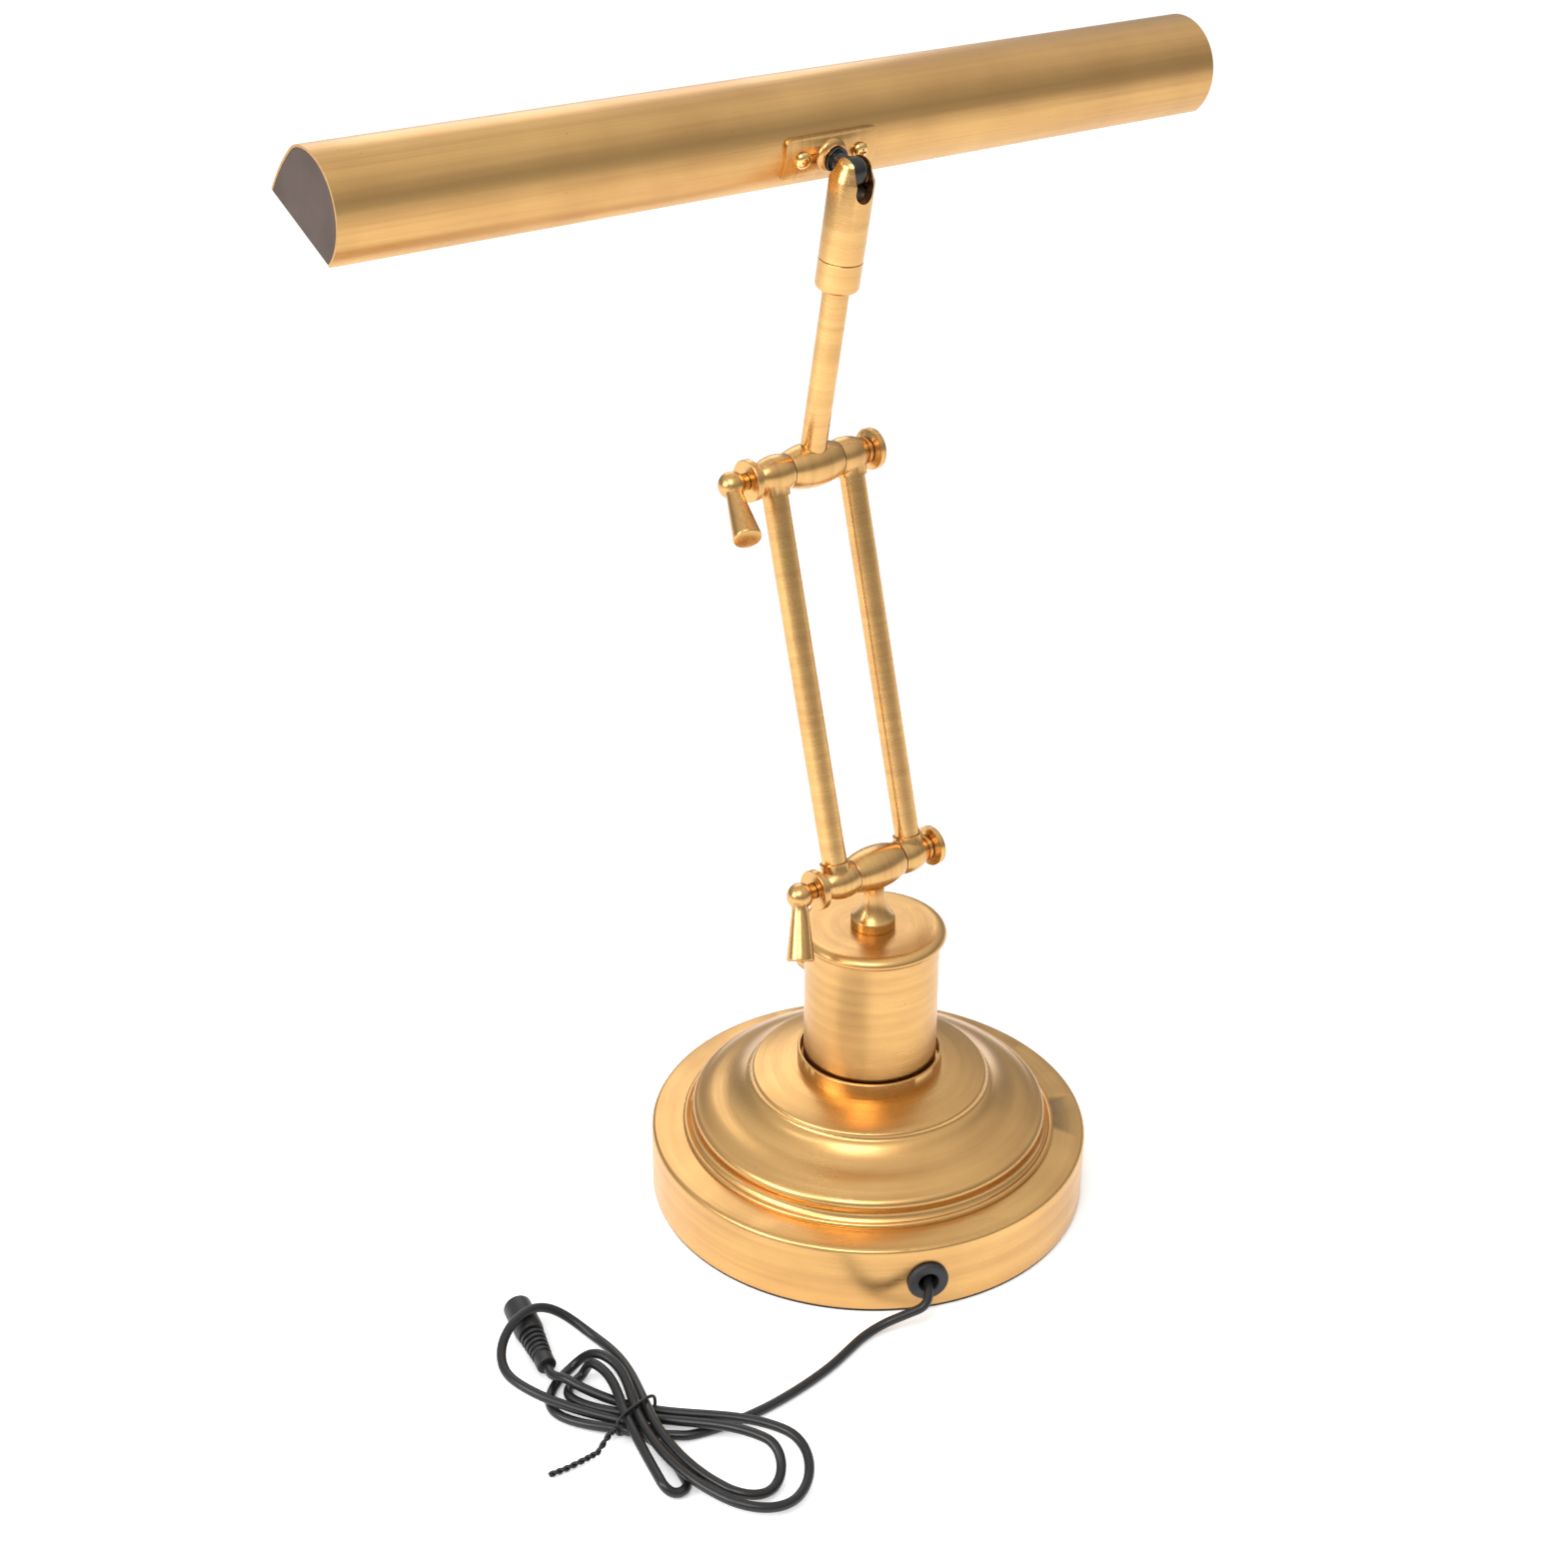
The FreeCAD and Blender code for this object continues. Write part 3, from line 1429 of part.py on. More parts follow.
ring_edges = [
    Part.LineSegment(low_left, low_right).toShape(),
    Part.Arc(low_right, low_right + middle_lift + across_waist * ring_round, top_right).toShape(),
    Part.LineSegment(top_right, top_left).toShape(),
    Part.Arc(top_left, low_left + middle_lift - across_waist * ring_round, low_left).toShape(),
]
ring_profile = Part.Wire(Part.Circle(low_left, across_waist, TIE_WIRE).toShape())
ring = Part.Wire(ring_edges).makePipeShell([ring_profile], True, False)
tail_start = low_left + middle_lift - across_waist * (ring_round + TIE_WIRE + 0.02)
TAIL = [
    tail_start,
    tail_start - across_waist * 3.0,
    Vector(184.0, 71.5, 3.4),
    Vector(189.0, 70.6, 2.3),
    Vector(196.0, 69.6, 1.5),
    Vector(202.6, 68.6, 1.5),
]
tail_edges, _ = rounded_route(TAIL)
tail_way = tail_edges[0].tangentAt(tail_edges[0].FirstParameter)
tail_profile = Part.Wire(Part.Circle(TAIL[0], tail_way, 1.3).toShape())
tail = Part.Wire(tail_edges).makePipeShell([tail_profile], True, False)
tie = doc.addObject("Part::Feature", "cord_tie")
tie.Shape = Part.makeCompound([ring, tail])
keep(tie)


# Check every object and write the sub-parts.
doc.recompute()
faults = [
    f"{thing.Name}: {thing.State}"
    for thing in doc.Objects
    if "Invalid" in thing.State or "Error" in thing.State
]
for label, piece in pieces.items():
    if piece.Shape.isNull() or not piece.Shape.isValid() or piece.Shape.Volume <= 0:
        faults.append(f"{label}: no valid shape")
if faults:
    raise SystemExit("\n".join(faults))
os.makedirs("parts", exist_ok=True)
for label, piece in pieces.items():
    piece.Shape.exportStep(f"parts/{label}.step")
    print(f"{label}: {len(piece.Shape.Solids)} solid(s), {piece.Shape.Volume:.0f} mm3")
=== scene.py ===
"""A piano lamp in antique brass, with its low-voltage lead tied in a bow beside it."""

import json
import logging
import math
from dataclasses import dataclass, field
from enum import Enum
from typing import ClassVar

import bmesh
import bpy
from mathutils import Matrix, Vector

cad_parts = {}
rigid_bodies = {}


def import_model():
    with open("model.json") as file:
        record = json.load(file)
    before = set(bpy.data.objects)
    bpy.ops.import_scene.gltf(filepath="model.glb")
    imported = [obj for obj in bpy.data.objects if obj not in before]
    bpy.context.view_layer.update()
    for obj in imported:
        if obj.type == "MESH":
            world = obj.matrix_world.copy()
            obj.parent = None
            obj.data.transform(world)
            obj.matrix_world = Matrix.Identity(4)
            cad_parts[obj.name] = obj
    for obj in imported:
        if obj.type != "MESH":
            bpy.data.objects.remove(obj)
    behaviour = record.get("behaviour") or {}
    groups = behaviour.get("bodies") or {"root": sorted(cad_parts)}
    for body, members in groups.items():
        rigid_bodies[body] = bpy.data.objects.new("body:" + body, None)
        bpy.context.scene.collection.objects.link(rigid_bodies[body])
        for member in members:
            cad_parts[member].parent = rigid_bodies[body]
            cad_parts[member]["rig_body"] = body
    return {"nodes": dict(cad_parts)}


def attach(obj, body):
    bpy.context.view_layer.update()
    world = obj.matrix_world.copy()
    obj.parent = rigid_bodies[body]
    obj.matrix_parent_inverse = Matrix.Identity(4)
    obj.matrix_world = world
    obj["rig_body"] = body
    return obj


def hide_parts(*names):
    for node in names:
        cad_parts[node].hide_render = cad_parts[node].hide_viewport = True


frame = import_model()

LOG = logging.getLogger("piano_lamp")
MM = 0.001
SMOOTH_UP_TO = math.radians(34.0)
BREAK_FROM = math.radians(38.0)
FLAT_WITHIN = math.radians(0.6)
JOIN_WITHIN = 2e-6
BREAK_STEPS = 2
Point = tuple[float, float, float]
Colour = tuple[float, float, float]


class Brush(Enum):
    """The way the fine brushing runs on a brass piece."""

    ROUND_POST = "round_post"
    ROUND_BAR = "round_bar"
    ROUND_ARM = "round_arm"
    ROUND_STEM = "round_stem"
    ALONG_SHADE = "along_shade"


class Fx(Enum):
    """The shared shader effects."""

    STREAKS = "brushed_streaks"
    PATINA = "patina_clouds"
    GRAIN = "moulded_grain"


class Graph:
    """A thin hand on one node tree."""

    def __init__(self, tree: bpy.types.NodeTree) -> None:
        """Keep the tree.

        Args:
            tree: The tree that the nodes go into.
        """
        self.tree = tree

    def add(self, kind: str, inputs: dict | None = None, **settings: object) -> bpy.types.Node:
        """Add a node.

        Args:
            kind: The node's type without the ShaderNode prefix.
            inputs: Values for the sockets, or outputs to link to them, by name or index.
            **settings: Properties of the node itself.

        Returns:
            The node.
        """
        node = self.tree.nodes.new(kind if kind.startswith("Node") else f"ShaderNode{kind}")
        for name, value in settings.items():
            setattr(node, name, value)
        for name, value in (inputs or {}).items():
            if isinstance(value, bpy.types.NodeSocket):
                self.tree.links.new(value, node.inputs[name])
            else:
                node.inputs[name].default_value = value
        return node

    def maths(self, operation: str, first: object, second: object = 0.0) -> bpy.types.NodeSocket:
        """Add a Math node.

        Args:
            operation: The operation's name.
            first: The first value or socket.
            second: The second value or socket.

        Returns:
            The result.
        """
        return self.add("Math", {0: first, 1: second}, operation=operation).outputs[0]

    def remap(
        self, value: object, low: float, high: float, to_low: float, to_high: float
    ) -> bpy.types.NodeSocket:
        """Carry a range of values over to another range, clamped.

        Args:
            value: The value's socket.
            low: Where the range starts.
            high: Where the range ends.
            to_low: What the start becomes.
            to_high: What the end becomes.

        Returns:
            The result.
        """
        inputs = {"Value": value, "From Min": low, "From Max": high, "To Min": to_low, "To Max": to_high}
        return self.add("MapRange", inputs).outputs[0]

    def blend(self, share: object, first: object, second: object) -> bpy.types.NodeSocket:
        """Mix two colours.

        Args:
            share: How much of the second colour shows.
            first: The first colour.
            second: The second colour.

        Returns:
            The mixed colour.
        """
        node = self.add("Mix", data_type="RGBA")
        for index, value in ((0, share), (6, first), (7, second)):
            if isinstance(value, bpy.types.NodeSocket):
                self.tree.links.new(value, node.inputs[index])
            elif index:
                node.inputs[index].default_value = (*value, 1.0)
            else:
                node.inputs[index].default_value = value
        return node.outputs[2]


class EffectShelf:
    """Builds each shared effect once and hands it out."""

    def __init__(self) -> None:
        """Build the three effects."""
        self.groups = {
            Fx.STREAKS: self._streaks(),
            Fx.PATINA: self._patina(),
            Fx.GRAIN: self._grain(),
        }

    @staticmethod
    def _new(effect: Fx, inputs: dict[str, tuple[str, float | None]], outputs: tuple[str, ...]) -> tuple:
        """Start a group with its sockets.

        Args:
            effect: The effect it holds.
            inputs: Socket types and defaults by name.
            outputs: Names of the value outputs.

        Returns:
            The group, a graph on it, its input node and its output node.
        """
        group = bpy.data.node_groups.new(effect.value, "ShaderNodeTree")
        for name, (kind, default) in inputs.items():
            socket = group.interface.new_socket(name=name, in_out="INPUT", socket_type=f"NodeSocket{kind}")
            if default is not None:
                socket.default_value = default
        for name in outputs:
            group.interface.new_socket(name=name, in_out="OUTPUT", socket_type="NodeSocketFloat")
        graph = Graph(group)
        return group, graph, graph.add("NodeGroupInput"), graph.add("NodeGroupOutput")

    def _streaks(self) -> bpy.types.NodeTree:
        """Build fine and broad scratches; the position is stretched along them beforehand.

        Returns:
            The group.
        """
        group, graph, source, sink = self._new(
            Fx.STREAKS, {"Position": ("Vector", None), "Broadness": ("Float", 0.18)}, ("Fine", "Broad")
        )
        fine = graph.add(
            "TexNoise",
            {"Vector": source.outputs["Position"], "Scale": 1.0, "Detail": 3.0, "Roughness": 0.65},
        )
        broad = graph.add(
            "TexNoise",
            {"Vector": source.outputs["Position"], "Scale": source.outputs["Broadness"], "Detail": 2.0},
        )
        group.links.new(graph.remap(fine.outputs[0], 0.3, 0.7, 0.0, 1.0), sink.inputs["Fine"])
        group.links.new(graph.remap(broad.outputs[0], 0.3, 0.7, 0.0, 1.0), sink.inputs["Broad"])
        return group

    def _patina(self) -> bpy.types.NodeTree:
        """Build cloudy darkening and scattered small pits.

        Returns:
            The group.
        """
        group, graph, source, sink = self._new(
            Fx.PATINA,
            {
                "Position": ("Vector", None),
                "Cloud Scale": ("Float", 30.0),
                "Pit Scale": ("Float", 160.0),
                "Pit Size": ("Float", 0.05),
            },
            ("Cloud", "Pits"),
        )
        cloud = graph.add(
            "TexNoise",
            {"Vector": source.outputs["Position"], "Scale": source.outputs["Cloud Scale"], "Detail": 3.0},
        )
        cells = graph.add(
            "TexVoronoi", {"Vector": source.outputs["Position"], "Scale": source.outputs["Pit Scale"]}
        )
        near = graph.maths("LESS_THAN", cells.outputs["Distance"], source.outputs["Pit Size"])
        chosen = graph.add("SeparateColor", {0: cells.outputs["Color"]})
        rare = graph.maths("GREATER_THAN", chosen.outputs[0], 0.8)
        group.links.new(graph.remap(cloud.outputs[0], 0.32, 0.68, 0.0, 1.0), sink.inputs["Cloud"])
        group.links.new(graph.maths("MULTIPLY", near, rare), sink.inputs["Pits"])
        return group

    def _grain(self) -> bpy.types.NodeTree:
        """Build the fine skin of moulded rubber, plastic and cast metal.

        Returns:
            The group.
        """
        group, graph, source, sink = self._new(
            Fx.GRAIN, {"Position": ("Vector", None), "Grain Scale": ("Float", 2200.0)}, ("Grain", "Sheen")
        )
        grain = graph.add(
            "TexNoise",
            {"Vector": source.outputs["Position"], "Scale": source.outputs["Grain Scale"], "Detail": 2.0},
        )
        sheen = graph.add("TexNoise", {"Vector": source.outputs["Position"], "Scale": 70.0, "Detail": 2.0})
        group.links.new(grain.outputs[0], sink.inputs["Grain"])
        group.links.new(graph.remap(sheen.outputs[0], 0.3, 0.7, 0.0, 1.0), sink.inputs["Sheen"])
        return group

    def place(self, graph: Graph, effect: Fx, position: object, **values: float) -> bpy.types.Node:
        """Put an effect into a material.

        Args:
            graph: The material's graph.
            effect: Which effect.
            position: The coordinates that feed it.
            **values: Its other inputs, with underscores for spaces.

        Returns:
            The group node.
        """
        node = graph.add("Group", node_tree=self.groups[effect])
        graph.tree.links.new(position, node.inputs["Position"])
        for name, value in values.items():
            node.inputs[name.replace("_", " ").title()].default_value = value
        return node


@dataclass(frozen=True)
class Brass:
    """Satin brass with an aged lacquer, brushed one way."""

    name: str
    brush: Brush
    gold: Colour = (0.76, 0.46, 0.17)
    brown: Colour = (0.50, 0.27, 0.10)
    roughness: float = 0.30
    anisotropy: float = 0.0
    pits: float = 0.045
    pit_tone: Colour = (0.10, 0.05, 0.02)
    pit_share: float = 0.55
    cloud_darkening: float = 0.34
    broad_darkening: float = 0.40
    fine_darkening: float = 0.14
    fine_roughening: float = 0.07
    cloud_roughening: float = 0.06
    lacquer: float = 0.12
    lacquer_roughness: float = 0.22
    turns_per_radian: float = 2.4
    rings_per_metre: float = 1600.0

    STRETCH: ClassVar[dict[Brush, tuple[Point, Point]]] = {
        Brush.ROUND_BAR: ((0.0, 0.0, 0.0), (2600.0, 90.0, 90.0)),
        Brush.ROUND_ARM: ((-15.3, 0.0, 0.0), (90.0, 90.0, 2200.0)),
        Brush.ROUND_STEM: ((10.9, 0.0, 0.0), (90.0, 90.0, 2200.0)),
        Brush.ALONG_SHADE: ((0.0, 0.0, 0.0), (14.0, 1500.0, 1500.0)),
    }

    def _grain_position(self, graph: Graph, position: bpy.types.NodeSocket) -> bpy.types.NodeSocket:
        """Stretch the coordinates along the brushing.

        Args:
            graph: The material's graph.
            position: The object coordinates.

        Returns:
            The stretched coordinates.
        """
        if self.brush is Brush.ROUND_POST:
            parts = graph.add("SeparateXYZ", {0: position})
            turn = graph.maths("ARCTAN2", parts.outputs[1], parts.outputs[0])
            span = graph.add("CombineXYZ", {0: parts.outputs[0], 1: parts.outputs[1], 2: 0.0})
            reach = graph.add("VectorMath", {0: span.outputs[0]}, operation="LENGTH").outputs["Value"]
            stretched = graph.add(
                "CombineXYZ",
                {
                    0: graph.maths("MULTIPLY", turn, self.turns_per_radian),
                    1: graph.maths("MULTIPLY", reach, self.rings_per_metre),
                    2: graph.maths("MULTIPLY", parts.outputs[2], self.rings_per_metre),
                },
            )
            return stretched.outputs[0]
        rotation, scale = self.STRETCH[self.brush]
        turned = tuple(math.radians(angle) for angle in rotation)
        straight = graph.add("Mapping", {"Vector": position, "Rotation": turned})
        return graph.add("VectorMath", {0: straight.outputs[0], 1: scale}, operation="MULTIPLY").outputs[0]

    def build(self, shelf: EffectShelf) -> bpy.types.Material:
        """Make the material.

        Args:
            shelf: The shared effects.

        Returns:
            The material.
        """
        material = bpy.data.materials.new(self.name)
        material.use_nodes = True
        graph = Graph(material.node_tree)
        shader = material.node_tree.nodes["Principled BSDF"]
        position = graph.add("TexCoord").outputs["Object"]
        streaks = shelf.place(graph, Fx.STREAKS, self._grain_position(graph, position), broadness=0.16)
        patina = shelf.place(
            graph, Fx.PATINA, position, cloud_scale=26.0, pit_scale=190.0, pit_size=self.pits
        )
        fine, cloud = streaks.outputs["Fine"], patina.outputs["Cloud"]
        aged = graph.maths(
            "ADD",
            graph.maths("MULTIPLY", cloud, self.cloud_darkening),
            graph.maths("MULTIPLY", streaks.outputs["Broad"], self.broad_darkening),
        )
        aged = graph.maths("ADD", aged, graph.maths("MULTIPLY", fine, self.fine_darkening))
        tone = graph.blend(aged, self.gold, self.brown)
        pitted = graph.maths("MULTIPLY", patina.outputs["Pits"], self.pit_share)
        tone = graph.blend(pitted, tone, self.pit_tone)
        scratched = graph.maths("MULTIPLY", fine, self.fine_roughening)
        rough = graph.maths("ADD", scratched, self.roughness - self.cloud_roughening)
        rough = graph.maths("ADD", rough, graph.maths("MULTIPLY", cloud, self.cloud_roughening))
        relief = graph.maths("SUBTRACT", fine, patina.outputs["Pits"])
        bump = graph.add("Bump", {"Height": relief, "Strength": 0.07, "Distance": 0.00012})
        links = material.node_tree.links
        links.new(tone, shader.inputs["Base Color"])
        links.new(rough, shader.inputs["Roughness"])
        links.new(bump.outputs[0], shader.inputs["Normal"])
        shader.inputs["Metallic"].default_value = 1.0
        shader.inputs["Coat Weight"].default_value = self.lacquer
        shader.inputs["Coat Roughness"].default_value = self.lacquer_roughness
        if self.anisotropy:
            shader.inputs["Anisotropic"].default_value = self.anisotropy
            tangent = graph.add("Tangent", direction_type="RADIAL", axis="Z")
            links.new(tangent.outputs[0], shader.inputs["Tangent"])
        return material


@dataclass(frozen=True)
class Moulded:
    """Rubber, plastic, paint or plain metal with a fine skin."""

    name: str
    colour: Colour
    roughness: float
    metallic: float = 0.0
    specular: float = 0.5
    relief: float = 0.12
    variation: float = 0.25
    grain: float = 2200.0
    smoother: float = 0.04
    rougher: float = 0.05

    def build(self, shelf: EffectShelf) -> bpy.types.Material:
        """Make the material.

        Args:
            shelf: The shared effects.

        Returns:
            The material.
        """
        material = bpy.data.materials.new(self.name)
        material.use_nodes = True
        graph = Graph(material.node_tree)
        shader = material.node_tree.nodes["Principled BSDF"]
        position = graph.add("TexCoord").outputs["Object"]
        skin = shelf.place(graph, Fx.GRAIN, position, grain_scale=self.grain)
        darker = tuple(part * (1.0 - self.variation) for part in self.colour)
        tone = graph.blend(skin.outputs["Sheen"], self.colour, darker)
        low, high = self.roughness - self.smoother, self.roughness + self.rougher
        rough = graph.remap(skin.outputs["Sheen"], 0.0, 1.0, low, high)
        bump = graph.add(
            "Bump", {"Height": skin.outputs["Grain"], "Strength": self.relief, "Distance": 0.00008}
        )
        links = material.node_tree.links
        links.new(tone, shader.inputs["Base Color"])
        links.new(rough, shader.inputs["Roughness"])
        links.new(bump.outputs[0], shader.inputs["Normal"])
        shader.inputs["Metallic"].default_value = self.metallic
        shader.inputs["Specular IOR Level"].default_value = self.specular
        return material


@dataclass
class FinishShelf:
    """Every finish of the lamp, made when it is first asked for."""

    effects: EffectShelf = field(default_factory=EffectShelf)
    made: dict[str, bpy.types.Material] = field(default_factory=dict)

    def get(self, finish: Brass | Moulded) -> bpy.types.Material:
        """The material of a finish.

        Args:
            finish: The finish.

        Returns:
            Its material.
        """
        if finish.name not in self.made:
            self.made[finish.name] = finish.build(self.effects)
        return self.made[finish.name]


POST_BRASS = Brass("brass_turned_base", Brush.ROUND_POST, anisotropy=0.45)
BAR_BRASS = Brass("brass_turned_bars", Brush.ROUND_BAR, roughness=0.26)
ARM_BRASS = Brass("brass_arm_rods", Brush.ROUND_ARM, roughness=0.26)
STEM_BRASS = Brass("brass_stem_and_socket", Brush.ROUND_STEM, roughness=0.27)
SHADE_BRASS = Brass("brass_shade", Brush.ALONG_SHADE, roughness=0.33)
SCREW_BRASS = Brass(
    "brass_bright_screws",
    Brush.ROUND_BAR,
    gold=(0.92, 0.66, 0.27),
    brown=(0.8, 0.5, 0.2),
    roughness=0.17,
)
BLACK_PAD = Moulded("black_pad", (0.012, 0.011, 0.011), 0.75, grain=3000.0, relief=0.4)
BLACK_LEAD = Moulded("black_lead", (0.010, 0.010, 0.011), 0.34, relief=0.05)
BLACK_RUBBER = Moulded("black_rubber", (0.020, 0.021, 0.023), 0.50)
BLACK_JACK = Moulded("black_jack", (0.016, 0.016, 0.017), 0.44)
# The end caps' dark brown is painted shade: it stands for the lamp shade's metal ends lying in shadow.
SHADED_END_CAP_BROWN = Moulded("end_cap_painted_shade_brown", (0.060, 0.030, 0.018), 0.42)
# The ball's near-black is partly painted shade: it stands for the unlit dark inside the knuckle's slot.
DARK_BALL_AND_SLOT_SHADE = Moulded("ball_dark_and_slot_shade", (0.012, 0.012, 0.013), 0.22, relief=0.02)
PLAIN_STEEL = Moulded("plain_steel", (0.55, 0.55, 0.54), 0.30, metallic=1.0)
CAST_IRON = Moulded("cast_iron", (0.07, 0.07, 0.07), 0.65, metallic=0.6, relief=0.6, grain=900.0)
BARE_ALUMINIUM = Moulded("bare_aluminium", (0.75, 0.75, 0.76), 0.36, metallic=1.0)
MILK_PLASTIC = Moulded("milk_diffuser", (0.86, 0.86, 0.84), 0.38, variation=0.04)
BOARD_WHITE = Moulded("board_white", (0.80, 0.80, 0.77), 0.40, variation=0.06)
LED_YELLOW = Moulded("led_yellow", (0.85, 0.62, 0.10), 0.25, variation=0.10)


def body_of(node: str) -> str:
    """The body that a CAD node rides on."""
    return frame["nodes"][node]["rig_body"]


def finish_part(node: str, material: bpy.types.Material, edge: float) -> bpy.types.Object:
    """Make the finished piece of a CAD node: flats joined, edges broken and curves smooth.

    Args:
        node: The CAD node.
        material: Its finish.
        edge: How wide its edges are broken, in millimetres.

    Returns:
        The finished piece, riding on the node's body.
    """
    mesh = frame["nodes"][node].data.copy()
    mesh.name = f"{node}_finished"
    sculpt = bmesh.new()
    sculpt.from_mesh(mesh)
    bmesh.ops.remove_doubles(sculpt, verts=sculpt.verts, dist=JOIN_WITHIN)
    bmesh.ops.dissolve_limit(sculpt, angle_limit=FLAT_WITHIN, verts=sculpt.verts, edges=sculpt.edges)
    sculpt.to_mesh(mesh)
    sculpt.free()
    mesh.materials.clear()
    mesh.materials.append(material)
    for polygon in mesh.polygons:
        polygon.material_index = 0
    mesh.shade_smooth()
    mesh.set_sharp_from_angle(angle=SMOOTH_UP_TO)
    piece = bpy.data.objects.new(f"{node}_finished", mesh)
    bpy.context.scene.collection.objects.link(piece)
    if edge > 0.0:
        bevel = piece.modifiers.new("broken_edges", "BEVEL")
        bevel.width = edge * MM
        bevel.segments = BREAK_STEPS
        bevel.limit_method = "ANGLE"
        bevel.angle_limit = BREAK_FROM
        bevel.miter_outer = "MITER_ARC"
        bevel.use_clamp_overlap = True
    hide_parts(node)
    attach(piece, body_of(node))
    LOG.info("finished %s", piece.name)
    return piece


def coat_part(node: str, material: bpy.types.Material) -> None:
    """Give a CAD node that stays as it is its finish.

    Args:
        node: The CAD node.
        material: Its finish.
    """
    mesh = frame["nodes"][node].data
    mesh.materials.clear()
    mesh.materials.append(material)
    LOG.info("coated %s", node)


@dataclass
class SubAssembly:
    """Pieces that share a maker: finished ones by edge width, and coated ones."""

    finishes: FinishShelf

    def dress(self, edges: dict[str, float], finish: Brass | Moulded) -> list[bpy.types.Object]:
        """Finish several nodes alike.

        Args:
            edges: The broken edge of each node, in millimetres.
            finish: Their finish.

        Returns:
            The finished pieces.
        """
        return [finish_part(node, self.finishes.get(finish), edge) for node, edge in edges.items()]

    def coat(self, nodes: tuple[str, ...], finish: Brass | Moulded) -> None:
        """Give hidden or plain nodes their finish.

        Args:
            nodes: The nodes.
            finish: Their finish.
        """
        for node in nodes:
            coat_part(node, self.finishes.get(finish))


@dataclass
class Base(SubAssembly):
    """The weighted foot, its spun cover and the lead's grommet."""

    fine_edge: float = 0.25

    def build(self) -> None:
        """Dress the foot."""
        self.dress({"base_shell": 0.0}, POST_BRASS)
        self.dress({"cord_grommet": self.fine_edge}, BLACK_RUBBER)
        self.dress({"foot_pad": 0.3}, BLACK_PAD)
        self.coat(("base_weight",), CAST_IRON)
        self.coat(("pipe_washer", "pipe_nut", "centre_pipe"), PLAIN_STEEL)
        self.coat(("inner_lead", "post_wire"), BLACK_LEAD)


@dataclass
class Post(SubAssembly):
    """The post with its collar, cap and dimmer."""

    fine_edge: float = 0.2

    def build(self) -> None:
        """Dress the post."""
        self.dress({"post_collar": self.fine_edge, "post_tube": 0.1, "post_cap": 0.3}, POST_BRASS)
        self.dress({"lower_hub": 0.2}, BAR_BRASS)
        self.dress({"dimmer_knob": 0.3}, POST_BRASS)
        self.dress({"dimmer_nut": 0.2}, PLAIN_STEEL)
        self.coat(("dimmer_shaft",), PLAIN_STEEL)
        self.coat(("dimmer_housing",), BLACK_JACK)
        self.coat(("dimmer_board",), BOARD_WHITE)


@dataclass
class Arm(SubAssembly):
    """The two rods with their hinge bars and clamp levers."""

    fine_edge: float = 0.22

    def build(self) -> None:
        """Dress the arm."""
        for level in ("lower", "upper"):
            self.dress(
                {
                    f"{level}_knuckle_lever_side": self.fine_edge,
                    f"{level}_knuckle_far_side": self.fine_edge,
                    f"{level}_lever_seat": self.fine_edge,
                    f"{level}_pivot_nut": self.fine_edge,
                    f"{level}_clamp_lever": 0.35,
                },
                BAR_BRASS,
            )
            self.coat((f"{level}_pivot_bolt",), PLAIN_STEEL)
        self.dress({"rod_lever_side": 0.1, "rod_far_side": 0.1}, ARM_BRASS)
        self.coat(("rod_wire",), BLACK_LEAD)


@dataclass
class Head(SubAssembly):
    """The stem, the ball knuckle and the plate behind the shade."""

    fine_edge: float = 0.25

    def build(self) -> None:
        """Dress the head."""
        self.dress({"upper_hub": 0.2}, BAR_BRASS)
        self.dress({"upper_stem": 0.1, "stem_collar": self.fine_edge, "knuckle_socket": 0.3}, STEM_BRASS)
        # The swivel ball's near-black colour is partly painted shade of the knuckle's slot.
        self.dress({"swivel_ball": 0.15}, DARK_BALL_AND_SLOT_SHADE)
        self.dress({"mount_plate": self.fine_edge}, BAR_BRASS)
        self.dress({"plate_screws": 0.12}, SCREW_BRASS)
        self.coat(("stem_wire",), BLACK_LEAD)
        self.coat(("friction_cup",), BLACK_JACK)
        self.coat(("disc_springs", "neck_nut"), PLAIN_STEEL)


@dataclass
class Shade(SubAssembly):
    """The long half-round shade with its light inside."""

    fine_edge: float = 0.2

    def build(self) -> None:
        """Dress the shade."""
        self.dress({"shade_shell": self.fine_edge}, SHADE_BRASS)
        # The end caps get a dark brown that is painted shade of the shadowed ends.
        self.dress({"end_cap_lever_side": 0.15, "end_cap_far_side": 0.15}, SHADED_END_CAP_BROWN)
        self.dress({"diffuser": 0.2}, MILK_PLASTIC)
        self.coat(("led_carrier",), BARE_ALUMINIUM)
        self.coat(("led_board",), BOARD_WHITE)
        self.coat(("led_chips",), LED_YELLOW)


def level_way(degrees: float) -> Vector:
    """A level direction at an angle from +X."""
    return Vector((math.cos(math.radians(degrees)), math.sin(math.radians(degrees)), 0.0))


